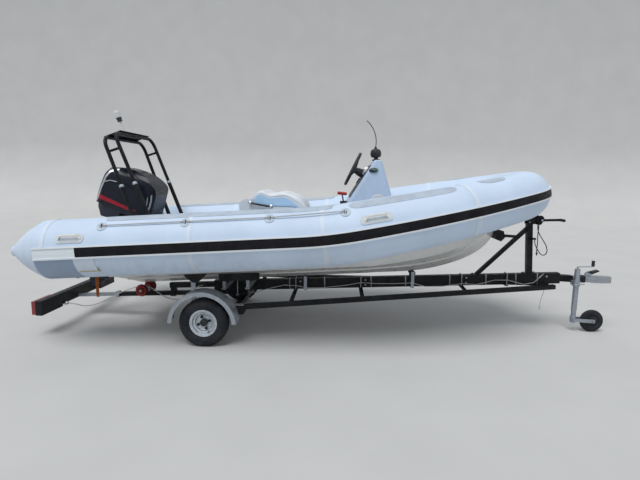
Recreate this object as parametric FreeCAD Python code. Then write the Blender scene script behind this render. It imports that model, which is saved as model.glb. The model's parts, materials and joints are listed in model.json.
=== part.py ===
import FreeCAD, Part
import math
import os

# A rigid inflatable boat with an outboard motor, parked on its two-wheel road trailer.
# Millimetres. X points forward (bow and coupling), Y to port, Z up, with the ground at Z 0.
# Everything is placed from the road axle at X 0, and the whole is moved along X at the end,
# so that the origin lies under the middle of its length.
# The boat is drawn level and then trimmed nose-up about a line across the road axle.

V = FreeCAD.Vector
UP = V(0, 0, 1)
FORWARD = V(1, 0, 0)
PORT = V(0, 1, 0)
STARBOARD_SIDE = -1
PORT_SIDE = 1
SIDES = (STARBOARD_SIDE, PORT_SIDE)

# Clearances
SEAT_GAP = 0.3
PIN_GAP = 0.3
CHAFE_GAP = 0.5

# Trim of the boat on the trailer
TRIM_DEG = 3.7
TRIM_PIVOT = V(0, 0, 900)

# Air tubes, level boat frame
TUBE_R = 240.0
BOW_TUBE_R = 205.0
TUBE_HALF_SPAN = 744.0
TUBE_Z = 880.0
CONE_START_X = -1240.0
CONE_LENGTH = 335.0
CONE_NECK_R = 48.0
SHEER_START_X = 800.0
BOW_START_X = 1250.0
BOW_RISE_DEG = 7.1
BOW_CENTRE_X = 2820.0
BOW_TURN_R = 400.0

# Rub strake round the outside of the tubes
STRAKE_START_X = -900.0
STRAKE_PLAIN_X = -1236.0
STRAKE_HALF_DEG = 8.6
STRAKE_THICK = 9.0
BEAD_DEG = 3.0
BEAD_THICK = 13.0

# Hull moulding
TRANSOM_AFT_X = -860.0
TRANSOM_THICK = 45.0
TRANSOM_TOP_Z = 985.0
TRANSOM_SHOULDER_Z = 1060.0
TRANSOM_NOTCH_HALF = 260.0
TRANSOM_HALF = 640.0
FLOOR_Z = 720.0
HULL_STRAIGHT_X = 1360.0
KEEL_Z = 414.0

# Console
CONSOLE_AFT_X = 1194.0
CONSOLE_FRONT_X = 1596.0
CONSOLE_HALF = 300.0
CONSOLE_SHOULDER_Z = 1118.0
CONSOLE_TOP_Z = 1466.0
CONSOLE_TOP_AFT_X = 1446.0
CONSOLE_TOP_FRONT_X = 1522.0
CONSOLE_TOP_HALF = 215.0
CONSOLE_CORNER_R = 34.0

# Steering wheel
HELM_R = 167.0
HELM_RIM_R = 13.0
HELM_CENTRE = V(1264.7, 0, 1412)
HELM_RAKE_DEG = 29.3
HELM_HUB_R = 34.0

# Seat
SEAT_HALF = 290.0
CUSHION_HALF = 262.0

# Light arch over the motor
ARCH_HALF = 390.0
ARCH_TUBE_R = 16.0
ARCH_BEND_R = 95.0

# Outboard motor, in its own upright frame with the tilt axis at the origin
TILT_PIVOT = V(-833, 0, 1034)
TILT_REST_DEG = 19.7
STEER_BACK = 105.0
STEER_TUBE_R = 34.0
STEER_PIN_R = 12.0
TILT_PIN_R = 16.0
EAR_INNER = 100.0
EAR_THICK = 15.0
COWL_HALF = 190.0
COWL_WALL = 8.0
COWL_JOINT_Z = 86.0
PLATE_Z = -482.0
PROP_Z = -634.0
PROP_R = 138.0
PROP_FACE_X = -402.0

# Trailer frame
SPINE_AT_AXLE_Z = 348.0
SPINE_PITCH_DEG = 2.6
SPINE_HEIGHT = 100.0
SPINE_WIDTH = 60.0
SPINE_AFT_X = -100.0
SPINE_FRONT_X = 3210.0
SPINE_WALL = 3.0
TAIL_SIZE = 50.0
TAIL_AFT_X = -553.0
TAIL_LIFT = 10.0
BAR_SIZE = 40.0
BAR_AFT_X = -1070.0
BAR_FRONT_X = 150.0
SLIDE_BAR_SIZE = 32.0
RAIL_SIZE = 40.0
RAIL_WALL = 3.0
RAIL_AFT = V(262, 620, 314)
RAIL_FRONT = V(3150, 62, 418)

# Road wheels
TRACK_HALF = 700.0
WHEEL_R = 203.5
TYRE_WIDTH = 108.0
RIM_SEAT_R = 102.0
RIM_FLANGE_R = 115.5
RIM_WIDTH = 84.0
RIM_WALL = 3.0
WHEEL_STUD_PCD = 100.0
WHEEL_STUDS = 4
WHEEL_NUT_R = 11.0
HUB_R = 70.0
HUB_INNER = 604.0
STUB_R = 15.0

# Axle
AXLE_X = 190.0
AXLE_Z = 224.0
AXLE_SIZE = 50.0
AXLE_HALF = 545.0
SWING_ARM_THICK = 14.0
SHELF_OUT_Y = 618.0

# Fenders
FENDER_R = 284.0
FENDER_SHEET = 3.0
FENDER_LIP = 34.0
FENDER_HALF_WIDTH = 88.0
FENDER_INSET = 5.0

# Jockey wheel
JOCKEY_X = 3335.0
JOCKEY_Y = -88.0
JOCKEY_OUTER_R = 24.0
JOCKEY_INNER_R = 21.1
JOCKEY_TUBE_WALL = 2.6
JOCKEY_OUTER_LOW = 205.0
JOCKEY_OUTER_TOP = 588.0
JOCKEY_WHEEL_R = 105.0
JOCKEY_WHEEL_WIDTH = 50.0
JOCKEY_TRAIL = 170.0

# Coupling
COUPLING_NOSE_X = 3694.0
COUPLING_TAIL_X = 3330.0
COUPLING_Z = 488.0
BALL_SOCKET_R = 25.3
BALL_SOCKET_DEPTH = 30.0
BALL_X = 3648.0

# Light board
BOARD_AFT_X = -1508.0
BOARD_DEPTH = 58.0
BOARD_HALF = 620.0
BOARD_LOW_Z = 190.0
BOARD_TOP_Z = 318.0
BOARD_WEB = 14.0
PLATE_FIELD_THICK = 4.0
PLATE_FIELD_HALF = 262.0


# Helpers

def vec_xz(pair, y=0.0):
    return V(pair[0], y, pair[1])


def box(x0, x1, y0, y1, z0, z1):
    return Part.makeBox(x1 - x0, y1 - y0, z1 - z0, V(x0, y0, z0))


def outline(points, place):
    """Closed wire through points. A point of four numbers is an arc's end and its middle."""
    start = place(points[0][0], points[0][1])
    edges = []
    here = start
    for point in points[1:]:
        there = place(point[0], point[1])
        if len(point) == 4:
            middle = place(point[2], point[3])
            edges.append(Part.Arc(here, middle, there).toShape())
        else:
            edges.append(Part.LineSegment(here, there).toShape())
        here = there
    if (here - start).Length > 1e-6:
        edges.append(Part.LineSegment(here, start).toShape())
    return Part.Wire(edges)


def prism_y(points, y0, y1):
    """Side profile of (x, z) points, drawn across from y0 to y1."""
    wire = outline(points, lambda a, b: V(a, y0, b))
    return Part.Face(wire).extrude(V(0, y1 - y0, 0))


def prism_z(points, z0, z1):
    """Plan of (x, y) points, drawn up from z0 to z1."""
    wire = outline(points, lambda a, b: V(a, b, z0))
    return Part.Face(wire).extrude(V(0, 0, z1 - z0))


def prism_x(points, x0, x1):
    """Front profile of (y, z) points, drawn forward from x0 to x1."""
    wire = outline(points, lambda a, b: V(x0, a, b))
    return Part.Face(wire).extrude(V(x1 - x0, 0, 0))


def rod(start, end, radius):
    return Part.makeCylinder(radius, (end - start).Length, start, end - start)


def pipe(start, end, radius, inner):
    return rod(start, end, radius).cut(rod(start, end, inner))


def bar(start, end, width, height, wall=0.0, up=UP):
    """Rectangular bar or, with a wall, a hollow section, between two points on its centre line."""
    along = (end - start).normalize()
    across = up.cross(along).normalize()
    rise = along.cross(across)

    def block(w, h):
        corners = [(-w, -h), (w, -h), (w, h), (-w, h), (-w, -h)]
        points = [start + across * (a / 2) + rise * (b / 2) for a, b in corners]
        return Part.Face(Part.makePolygon(points)).extrude(end - start)

    solid = block(width, height)
    if wall:
        solid = solid.cut(block(width - 2 * wall, height - 2 * wall))
    return solid


def turned(points, base, axis, across):
    """Solid of revolution of (along, radius) points about an axis."""
    wire = outline(points, lambda a, r: base + axis * a + across * r)
    return Part.Face(wire).revolve(base, axis, 360)


def fused(solids):
    solids = list(solids)
    if len(solids) == 1:
        return solids[0]
    return solids[0].multiFuse(solids[1:]).removeSplitter()


def mirrored(shape):
    return shape.mirror(V(0, 0, 0), PORT)


def route_edges(points, radii):
    """Straight runs joined by tangent arcs; one radius for each inner point."""
    edges = []
    here = points[0]
    for before, corner, after, radius in zip(points, points[1:], points[2:], radii):
        inward = (before - corner).normalize()
        outward = (after - corner).normalize()
        half_turn = (math.pi - inward.getAngle(outward)) / 2
        reach = radius * math.tan(half_turn)
        bisector = (inward + outward).normalize()
        centre_to_corner = radius / math.cos(half_turn)
        arc_start = corner + inward * reach
        arc_end = corner + outward * reach
        arc_middle = corner + bisector * (centre_to_corner - radius)
        if (arc_start - here).Length > 1e-4:
            edges.append(Part.LineSegment(here, arc_start).toShape())
        edges.append(Part.Arc(arc_start, arc_middle, arc_end).toShape())
        here = arc_end
    edges.append(Part.LineSegment(here, points[-1]).toShape())
    return edges


def bent_rod(points, radius, bend):
    """Round rod bent to one radius at each inner point."""
    path = Part.Wire(route_edges(points, [bend] * (len(points) - 2)))
    ring = Part.Wire(Part.Circle(points[0], points[1] - points[0], radius).toShape())
    return path.makePipeShell([ring], True, False)


def cord_radii(points):
    """Arc radii of a cord: 0.45 of the shorter run over the tangent of half the turn."""
    radii = []
    for before, corner, after in zip(points, points[1:], points[2:]):
        inward = before - corner
        outward = after - corner
        shorter = min(inward.Length, outward.Length)
        turn = math.pi - inward.getAngle(outward)
        radii.append(0.45 * shorter / math.tan(turn / 2))
    return radii


def cord(name, points, radius):
    """Plain round solid of a cord along its route."""
    radii = cord_radii(points)
    path = Part.Wire(route_edges(points, radii))
    ring = Part.Wire(Part.Circle(points[0], points[1] - points[0], radius).toShape())
    solid = path.makePipeShell([ring], True, False)
    expected = math.pi * radius ** 2 * path.Length
    print(name, "length", round(path.Length), "tightest radius", round(min(radii), 1),
          "volume ratio", round(solid.Volume / expected, 4))
    return solid


def on_boat(shape):
    """Places a shape drawn in the level boat frame."""
    placed = shape.copy()
    placed.rotate(TRIM_PIVOT, PORT, -TRIM_DEG)
    return placed


def boat_point(point):
    turn = FreeCAD.Rotation(PORT, -TRIM_DEG)
    return TRIM_PIVOT + turn.multVec(point - TRIM_PIVOT)


def boat_direction(direction):
    return FreeCAD.Rotation(PORT, -TRIM_DEG).multVec(direction)


# Path of the air tubes
# Straight aft, a gentle arc upwards, a long bend in a tilted plane and a tight bend at the bow.

def along_arc(position, across, upward, centre, axis, degrees):
    """Moves a point and its two section directions round an axis."""
    turn = FreeCAD.Rotation(axis, degrees)
    return centre + turn.multVec(position - centre), turn.multVec(across), turn.multVec(upward)


RISE = math.radians(BOW_RISE_DEG)
SHEER_R = (BOW_START_X - SHEER_START_X) / math.sin(RISE)
BOW_REACH = (BOW_CENTRE_X - BOW_START_X) / math.cos(RISE)
BEND_HALF_TAN = (TUBE_HALF_SPAN - BOW_TURN_R) / (BOW_REACH - BOW_TURN_R)
BEND_DEG = math.degrees(2 * math.atan(BEND_HALF_TAN))
BEND_R = BOW_TURN_R + (BOW_REACH - BOW_TURN_R) / math.sin(math.radians(BEND_DEG))


def tube_stages(side):
    """Places of the section at the stages of one tube, with the arcs between them."""
    across = PORT * side
    start = V(SHEER_START_X, side * TUBE_HALF_SPAN, TUBE_Z)
    sheer_centre = start + UP * SHEER_R
    at_bend = along_arc(start, across, UP, sheer_centre, PORT, -BOW_RISE_DEG)
    bend_axis = at_bend[2] * -side
    bend_centre = at_bend[0] - at_bend[1] * BEND_R
    at_turn = along_arc(*at_bend, bend_centre, bend_axis, BEND_DEG)
    turn_centre = at_turn[0] - at_turn[1] * BOW_TURN_R
    return {"start": (start, across, UP), "sheer_centre": sheer_centre, "at_bend": at_bend,
            "bend_centre": bend_centre, "bend_axis": bend_axis, "at_turn": at_turn,
            "turn_centre": turn_centre}


def sector_wire(place, inner, outer, low_deg, high_deg):
    """Section of a strip on the tube, between two angles above the outward direction."""
    position, across, upward = place

    def at(radius, degrees):
        angle = math.radians(degrees)
        return position + across * (radius * math.cos(angle)) + upward * (radius * math.sin(angle))

    middle = (low_deg + high_deg) / 2
    return Part.Wire([
        Part.Arc(at(inner, low_deg), at(inner, middle), at(inner, high_deg)).toShape(),
        Part.LineSegment(at(inner, high_deg), at(outer, high_deg)).toShape(),
        Part.Arc(at(outer, high_deg), at(outer, middle), at(outer, low_deg)).toShape(),
        Part.LineSegment(at(outer, low_deg), at(inner, low_deg)).toShape()])


def round_wire(place, radius):
    position, across, upward = place
    return Part.Wire(Part.Circle(position, across.cross(upward), radius).toShape())


def straight_length(side, section, from_x, to_x):
    place = (V(from_x, side * TUBE_HALF_SPAN, TUBE_Z), PORT * side, UP)
    return Part.Face(section(place, TUBE_R)).extrude(FORWARD * (to_x - from_x))


def sheer_length(side, section):
    stages = tube_stages(side)
    face = Part.Face(section(stages["start"], TUBE_R))
    return face.revolve(stages["sheer_centre"], PORT, -BOW_RISE_DEG)


def bend_length(side, section):
    """The long bend, along which the tube narrows to its bow size."""
    stages = tube_stages(side)
    at_middle = along_arc(*stages["at_bend"], stages["bend_centre"], stages["bend_axis"],
                          BEND_DEG / 2)
    path = Part.Wire(Part.Arc(stages["at_bend"][0], at_middle[0],
                              stages["at_turn"][0]).toShape())
    sweep = Part.BRepOffsetAPI.MakePipeShell(path)
    sweep.setBiNormalMode(stages["at_bend"][2])
    sweep.add(section(stages["at_bend"], TUBE_R))
    sweep.add(section(stages["at_turn"], BOW_TUBE_R))
    sweep.build()
    sweep.makeSolid()
    return sweep.shape()


def bow_length(section):
    stages = tube_stages(STARBOARD_SIDE)
    face = Part.Face(section(stages["at_turn"], BOW_TUBE_R))
    return face.revolve(stages["turn_centre"], stages["bend_axis"], 2 * (90 - BEND_DEG))


def side_strip(side, section, from_x):
    """One section carried along a whole side tube."""
    return fused([straight_length(side, section, from_x, SHEER_START_X),
                  sheer_length(side, section), bend_length(side, section)])


def full_strip(section, from_x):
    """One section carried round the whole boat."""
    return fused([side_strip(STARBOARD_SIDE, section, from_x), bow_length(section),
                  side_strip(PORT_SIDE, section, from_x)])


def tube_section(grow):
    return lambda place, radius: round_wire(place, radius + grow)


def band_section(thick, low_deg, high_deg):
    return lambda place, radius: sector_wire(place, radius + SEAT_GAP, radius + thick,
                                             low_deg, high_deg)


# Boat

def make_tube(side):
    return side_strip(side, tube_section(0.0), CONE_START_X)


def make_bow_tube():
    return bow_length(tube_section(0.0))


def make_cones():
    """Rounded cones that close the tubes behind the transom."""
    profile = [
        (0, 0),
        (0, TUBE_R),
        (-0.87 * CONE_LENGTH, CONE_NECK_R, -0.50 * CONE_LENGTH, 0.625 * TUBE_R),
        (-CONE_LENGTH + 1, 8, -0.965 * CONE_LENGTH, 0.72 * CONE_NECK_R),
        (-CONE_LENGTH, 0)]
    return [turned(profile, V(CONE_START_X, side * TUBE_HALF_SPAN, TUBE_Z), FORWARD, UP)
            for side in SIDES]


def make_strake_trim():
    """Pale beads along both edges of the strake, with its plain aft ends between them."""
    end_section = band_section(STRAKE_THICK - 4, -STRAKE_HALF_DEG, STRAKE_HALF_DEG)
    strips = [straight_length(side, end_section, STRAKE_PLAIN_X, STRAKE_START_X)
              for side in SIDES]
    for low, high in ((STRAKE_HALF_DEG, STRAKE_HALF_DEG + BEAD_DEG),
                      (-STRAKE_HALF_DEG - BEAD_DEG, -STRAKE_HALF_DEG)):
        strips.append(full_strip(band_section(BEAD_THICK, low, high), STRAKE_PLAIN_X))
    return fused(strips)


def make_rub_strake():
    return full_strip(band_section(STRAKE_THICK, -STRAKE_HALF_DEG, STRAKE_HALF_DEG),
                      STRAKE_START_X)


# station x, keel z, chine half width, chine z, upper half width, upper z
HULL_STATIONS = [
    (HULL_STRAIGHT_X, KEEL_Z, 620, 617, 655, FLOOR_Z),
    (1650, 415, 588, 638, 640, 770),
    (1930, 432, 518, 670, 590, 850),
    (2210, 493, 400, 722, 485, 925),
    (2430, 592, 235, 790, 300, 985),
    (2560, 735, 62, 868, 90, 1030)]
KEEL_FLAT = 16.0
SPRAY_RAIL = 22.0
STEP_SHARE = 0.46
WELL_FRONT_X = 1720.0
WELL_HALF = 560.0


def hull_wire(x, keel_z, chine_half, chine_z, upper_half, upper_z):
    """Deep V section with a lifting strake half way out and a spray rail at the chine."""
    scale = chine_half / 620.0
    flat = KEEL_FLAT * max(scale, 0.3)
    rail = SPRAY_RAIL * scale
    step_y = STEP_SHARE * chine_half
    step_z = keel_z + (chine_z - keel_z) * step_y / chine_half
    half = [(flat, keel_z), (step_y, step_z), (step_y + rail, step_z - 0.1 * rail),
            (step_y + rail, step_z + 0.35 * rail),
            (chine_half - 1.4 * rail, chine_z - 0.6 * rail),
            (chine_half, chine_z - 0.6 * rail), (chine_half + 1, chine_z + 0.5 * rail),
            (upper_half, upper_z)]
    ring = half + [(-y, z) for y, z in reversed(half)]
    points = [V(x, y, z) for y, z in ring]
    return Part.makePolygon(points + points[:1])


def make_hull():
    straight = Part.Face(hull_wire(*HULL_STATIONS[0])).extrude(
        FORWARD * (TRANSOM_AFT_X - HULL_STRAIGHT_X))
    forward = Part.makeLoft([hull_wire(*station) for station in HULL_STATIONS], True, False)
    hull = fused([straight, forward])
    well = box(HULL_STRAIGHT_X - 200, WELL_FRONT_X, -WELL_HALF, WELL_HALF, FLOOR_Z,
               FLOOR_Z + 300)
    return hull.cut(well).cut(full_strip(tube_section(CHAFE_GAP), CONE_START_X))


def bilge_z(y):
    """Underside of the straight hull between the lifting strake and the chine."""
    _, keel_z, chine_half, chine_z = HULL_STATIONS[0][:4]
    step_y = STEP_SHARE * chine_half + SPRAY_RAIL
    step_z = keel_z + (chine_z - keel_z) * STEP_SHARE + 0.35 * SPRAY_RAIL
    end_y = chine_half - 1.4 * SPRAY_RAIL
    end_z = chine_z - 0.6 * SPRAY_RAIL
    return step_z + (end_z - step_z) * (abs(y) - step_y) / (end_y - step_y)


def under_bilge(y_in, y_out, depth, x0, x1):
    """Block with its top laid along the hull's underside, level boat frame."""
    low = bilge_z(y_in) - depth
    profile = [(y_in, low), (y_out, low), (y_out, bilge_z(y_out) - CHAFE_GAP),
               (y_in, bilge_z(y_in) - CHAFE_GAP)]
    return prism_x(profile, x0, x1)


def make_transom():
    top = [(-TRANSOM_HALF, FLOOR_Z), (TRANSOM_HALF, FLOOR_Z),
           (TRANSOM_HALF, TRANSOM_SHOULDER_Z), (TRANSOM_NOTCH_HALF + 60, TRANSOM_SHOULDER_Z),
           (TRANSOM_NOTCH_HALF, TRANSOM_TOP_Z), (-TRANSOM_NOTCH_HALF, TRANSOM_TOP_Z),
           (-TRANSOM_NOTCH_HALF - 60, TRANSOM_SHOULDER_Z), (-TRANSOM_HALF, TRANSOM_SHOULDER_Z)]
    board = prism_x(top, TRANSOM_AFT_X, TRANSOM_AFT_X + TRANSOM_THICK)
    for side in SIDES:
        board = board.cut(straight_length(side, tube_section(CHAFE_GAP), -1000, -600))
    return board


def round_rect(x0, x1, half, z, corner):
    """Rounded rectangle in plan, symmetric about the centre line."""
    k = corner * (1 - math.sqrt(0.5))
    points = [(x0 + corner, -half), (x1 - corner, -half),
              (x1, -half + corner, x1 - k, -half + k), (x1, half - corner),
              (x1 - corner, half, x1 - k, half - k), (x0 + corner, half),
              (x0, half - corner, x0 + k, half - k), (x0, -half + corner),
              (x0 + corner, -half, x0 + k, -half + k)]
    return outline(points, lambda a, b: V(a, b, z))


def make_console():
    """Pedestal with a raked wedge on it, narrowing to a small crown."""
    wires = [
        round_rect(CONSOLE_AFT_X - 6, CONSOLE_FRONT_X + 10, CONSOLE_HALF + 8, FLOOR_Z,
                   CONSOLE_CORNER_R),
        round_rect(CONSOLE_AFT_X, CONSOLE_FRONT_X, CONSOLE_HALF, CONSOLE_SHOULDER_Z,
                   CONSOLE_CORNER_R),
        round_rect(CONSOLE_TOP_AFT_X, CONSOLE_TOP_FRONT_X, CONSOLE_TOP_HALF, CONSOLE_TOP_Z,
                   CONSOLE_CORNER_R * 0.8),
        round_rect(CONSOLE_TOP_AFT_X + 14, CONSOLE_TOP_FRONT_X - 12, CONSOLE_TOP_HALF - 16,
                   CONSOLE_TOP_Z + 12, CONSOLE_CORNER_R * 0.6)]
    lower = Part.makeLoft(wires[:2], True, True)
    upper = Part.makeLoft(wires[1:3], True, True)
    crown = Part.makeLoft(wires[2:], True, True)
    return fused([lower, upper, crown])


DASH_DIRECTION = V(CONSOLE_TOP_AFT_X - CONSOLE_AFT_X, 0,
                   CONSOLE_TOP_Z - CONSOLE_SHOULDER_Z).normalize()
DASH_NORMAL = V(-DASH_DIRECTION.z, 0, DASH_DIRECTION.x)
DASH_BASE = V(CONSOLE_AFT_X, 0, CONSOLE_SHOULDER_Z)


def dash_point(up_face, y, out):
    """Point over the raked aft face of the console."""
    return DASH_BASE + DASH_DIRECTION * up_face + PORT * y + DASH_NORMAL * out


def make_dash():
    """Dark panel on the raked face with three round gauges and a steering boss."""
    width = 380.0
    low, high, thick = 45.0, 390.0, 6.0
    middle = (low + high) / 2
    panel = bar(dash_point(low, 0, thick / 2 + SEAT_GAP), dash_point(high, 0, thick / 2 + SEAT_GAP),
                width, thick, up=DASH_NORMAL)
    gauges = [Part.makeCylinder(42, 14, dash_point(330, y, thick), DASH_NORMAL)
              for y in (-118, 0, 118)]
    switches = [bar(dash_point(middle - 30, y, thick + 4), dash_point(middle + 30, y, thick + 4),
                    26, 9, up=DASH_NORMAL) for y in (125, 160)]
    return fused([panel] + gauges + switches)


HELM_AXIS = V(-math.cos(math.radians(HELM_RAKE_DEG)), 0, math.sin(math.radians(HELM_RAKE_DEG)))
HELM_BACK = 46.0


def make_helm_boss():
    """Steering gear housing between the console and the wheel, on the wheel's axis."""
    start = HELM_CENTRE - HELM_AXIS * HELM_BACK
    housing = Part.makeCone(HELM_HUB_R, HELM_HUB_R + 14, 105, start, HELM_AXIS * -1)
    half_space = bar(dash_point(200, 0, -300), dash_point(200, 0, 6 + SEAT_GAP), 900, 900,
                     up=DASH_DIRECTION)
    return housing.cut(half_space)


def make_steering_wheel():
    """Rim, three spokes and a domed hub, dished towards the console."""
    across = PORT
    rim = Part.makeTorus(HELM_R - HELM_RIM_R, HELM_RIM_R, HELM_CENTRE, HELM_AXIS)
    hub_back = HELM_CENTRE - HELM_AXIS * (HELM_BACK - 1.0)
    hub = Part.makeCylinder(HELM_HUB_R - 4, 30, hub_back, HELM_AXIS)
    plane_up = HELM_AXIS.cross(across)
    spokes = []
    for degrees in (90, 210, 330):
        angle = math.radians(degrees)
        out = across * math.cos(angle) + plane_up * -math.sin(angle)
        inner = hub_back + HELM_AXIS * 20 + out * 18
        outer = HELM_CENTRE + out * (HELM_R - HELM_RIM_R)
        spokes.append(bar(inner, outer, 26, 8, up=HELM_AXIS))
    return fused([rim, hub] + spokes)


def make_throttle():
    """Side-mount control: a box on the console's aft face with its lever and grip."""
    base = box(1130, 1192, -262, -198, 1030, 1130)
    lever = bar(V(1160, -230, 1128), V(1152, -230, 1196), 16, 12, up=FORWARD)
    grip = rod(V(1116, -230, 1204), V(1188, -230, 1192), 11)
    return fused([base, lever, grip])


def make_console_hatch():
    """Round inspection hatch on the starboard side of the pedestal."""
    centre = V(1462, -CONSOLE_HALF - 1, 1106)
    rim = Part.makeCylinder(72, 9, centre, PORT * -1)
    lid = Part.makeCylinder(58, 13, centre, PORT * -1)
    hatch = fused([rim, lid])
    return hatch.cut(make_console())


def make_mast_foot():
    """Black ratchet foot on the console's crown that carries the whip antenna."""
    base = V(1484, 0, CONSOLE_TOP_Z + 12)
    profile = [(0, 0), (0, 38), (10, 38), (16, 18), (26, 18), (32, 42), (86, 46, 60, 51),
               (104, 26, 98, 40), (112, 12), (124, 12), (124, 0)]
    return turned(profile, base, UP, FORWARD)


def make_antenna():
    """Whip that leans aft in one long bow above its foot."""
    foot = V(1484, 0, CONSOLE_TOP_Z + 12 + 124)
    middle = foot + V(-2, 0, 128)
    tip = foot + V(-72, 0, 244)
    path = Part.Wire(Part.Arc(foot, middle, tip).toShape())
    ring = Part.Wire(Part.Circle(foot, UP, 4.0).toShape())
    return path.makePipeShell([ring], True, False)


def make_side_lights():
    """Teardrop side lights, one on each flank of the console."""
    flank = (CONSOLE_HALF - CONSOLE_TOP_HALF) / (CONSOLE_TOP_Z - CONSOLE_SHOULDER_Z)
    height = 1388.0
    lights = []
    for side in SIDES:
        y = side * (CONSOLE_HALF - (height - CONSOLE_SHOULDER_Z) * flank)
        housing = Part.makeSphere(1.0)
        stretch = FreeCAD.Matrix()
        stretch.scale(42, 26, 21)
        housing = housing.transformGeometry(stretch)
        housing.translate(V(1440, y, height))
        lights.append(housing.cut(make_console()))
    return lights


# seat base side profile, x and z
SEAT_BASE_PROFILE = [
    (238, FLOOR_Z), (226, 1118), (240, 1165, 228, 1145), (300, 1196, 268, 1186), (328, 1186),
    (342, 1150), (500, 1112), (700, 1096), (846, 1058), (872, FLOOR_Z)]

# cushion side profile: backrest swell, seat hollow, thigh swell
CUSHION_PROFILE = [
    (344, 1149.6), (392, 1258, 348, 1226), (462, 1236, 432, 1254), (548, 1226, 502, 1219),
    (688, 1205, 620, 1232), (842, 1072, 790, 1150), (836, 1060.7), (700, 1096), (500, 1112)]


def make_seat_base():
    return prism_y(SEAT_BASE_PROFILE, -SEAT_HALF, SEAT_HALF)


def make_seat_cushion():
    cushion = prism_y(CUSHION_PROFILE, -CUSHION_HALF, CUSHION_HALF)
    cushion.translate(V(0, 0, SEAT_GAP))
    return cushion


def make_seat_handles():
    """Black grab bars on both flanks of the seat."""
    handles = []
    for side in SIDES:
        y = side * (SEAT_HALF + 20)
        bar_ends = (V(316, y, 1160), V(529, y, 1112))
        grip = rod(*bar_ends, 9)
        feet = [rod(V(x, side * SEAT_HALF, z), V(x, y, z), 8)
                for x, z in ((332, 1156.4), (513, 1115.6))]
        handles.append(fused([grip] + feet))
    return handles


# light arch: foot x and z, top x and z, of the aft hoop and of the fore hoop
ARCH_HOOPS = [(-598, FLOOR_Z, -895, 1795), (-452, FLOOR_Z, -790, 1826)]


def hoop_point(hoop, share, y):
    foot_x, foot_z, top_x, top_z = hoop
    return V(foot_x + (top_x - foot_x) * share, y, foot_z + (top_z - foot_z) * share)


def make_arch():
    """Two leaning hoops tied together near the top, standing on flanges on the floor."""
    pieces = []
    for hoop in ARCH_HOOPS:
        corners = [hoop_point(hoop, 0, -ARCH_HALF), hoop_point(hoop, 1, -ARCH_HALF),
                   hoop_point(hoop, 1, ARCH_HALF), hoop_point(hoop, 0, ARCH_HALF)]
        pieces.append(bent_rod(corners, ARCH_TUBE_R, ARCH_BEND_R))
        for side in SIDES:
            low = hoop_point(hoop, 0.02, side * ARCH_HALF)
            high = hoop_point(hoop, 0.60, side * ARCH_HALF)
            pieces.append(rod(low, high, ARCH_TUBE_R + 3))
    for side in SIDES:
        ends = [hoop_point(hoop, 0.88, side * ARCH_HALF) for hoop in ARCH_HOOPS]
        pieces.append(rod(ends[0], ends[1], 11))
    arch = fused(pieces)
    below_floor = box(-900, -100, -600, 600, FLOOR_Z - 200, FLOOR_Z)
    arch = arch.cut(below_floor)
    flanges = [Part.makeCylinder(44, 8, hoop_point(hoop, 0, side * ARCH_HALF))
               for hoop in ARCH_HOOPS for side in SIDES]
    return fused([arch] + flanges)


ARCH_TOP = [hoop_point(hoop, 1, 0) for hoop in ARCH_HOOPS]
ARCH_PLATE_ALONG = (ARCH_TOP[1] - ARCH_TOP[0]).normalize()
ARCH_PLATE_NORMAL = ARCH_PLATE_ALONG.cross(PORT)
ARCH_PLATE_THICK = 6.0


def arch_plate_point(along, lift):
    """Point over the hoops' tops: distance forward of the aft one, height over the plate."""
    over = ARCH_TUBE_R + ARCH_PLATE_THICK + SEAT_GAP + lift
    return ARCH_TOP[0] + ARCH_PLATE_ALONG * along + ARCH_PLATE_NORMAL * over


def make_arch_plate():
    """Flat plate across the tops of both hoops, which carries the stern light."""
    depth = (ARCH_TOP[1] - ARCH_TOP[0]).Length
    half = ARCH_PLATE_THICK / 2
    return bar(arch_plate_point(-34, -half), arch_plate_point(depth + 20, -half),
               2 * (ARCH_HALF - ARCH_BEND_R), ARCH_PLATE_THICK, up=ARCH_PLATE_NORMAL)


def make_stern_light():
    """Pole light: a foot on the arch plate, a white stem leaning aft, a black collar, a lamp."""
    profile = [(0, 0), (0, 26), (14, 24), (48, 15), (48, 9), (150, 9), (152, 21), (178, 21),
               (178, 25), (240, 25), (251, 16, 248, 22), (251, 0)]
    return turned(profile, arch_plate_point(32, 0), ARCH_PLATE_NORMAL, PORT)


# carry handles on the tubes: centre x, angle above the outward direction
HANDLES = [(-945, 27), (1395, 27)]
HANDLE_LENGTH = 240.0


def tube_place(x, side):
    """Section place on a side tube at a distance along the boat, up to the bow turn."""
    stages = tube_stages(side)
    if x <= SHEER_START_X:
        return (V(x, side * TUBE_HALF_SPAN, TUBE_Z), PORT * side, UP), TUBE_R
    if x <= BOW_START_X:
        degrees = math.degrees(math.asin((x - SHEER_START_X) / SHEER_R))
        return along_arc(*stages["start"], stages["sheer_centre"], PORT, -degrees), TUBE_R
    reach = (x - BOW_START_X) / math.cos(RISE)
    degrees = math.degrees(math.asin(reach / BEND_R))
    place = along_arc(*stages["at_bend"], stages["bend_centre"], stages["bend_axis"], degrees)
    return place, TUBE_R + (BOW_TUBE_R - TUBE_R) * degrees / BEND_DEG


def over_tube(x, side, lift, degrees):
    """Point over the tube at a height above its skin, with the outward direction there."""
    (position, across, upward), radius = tube_place(x, side)
    angle = math.radians(degrees)
    outward = across * math.cos(angle) + upward * math.sin(angle)
    return position + outward * (radius + lift), outward


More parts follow.
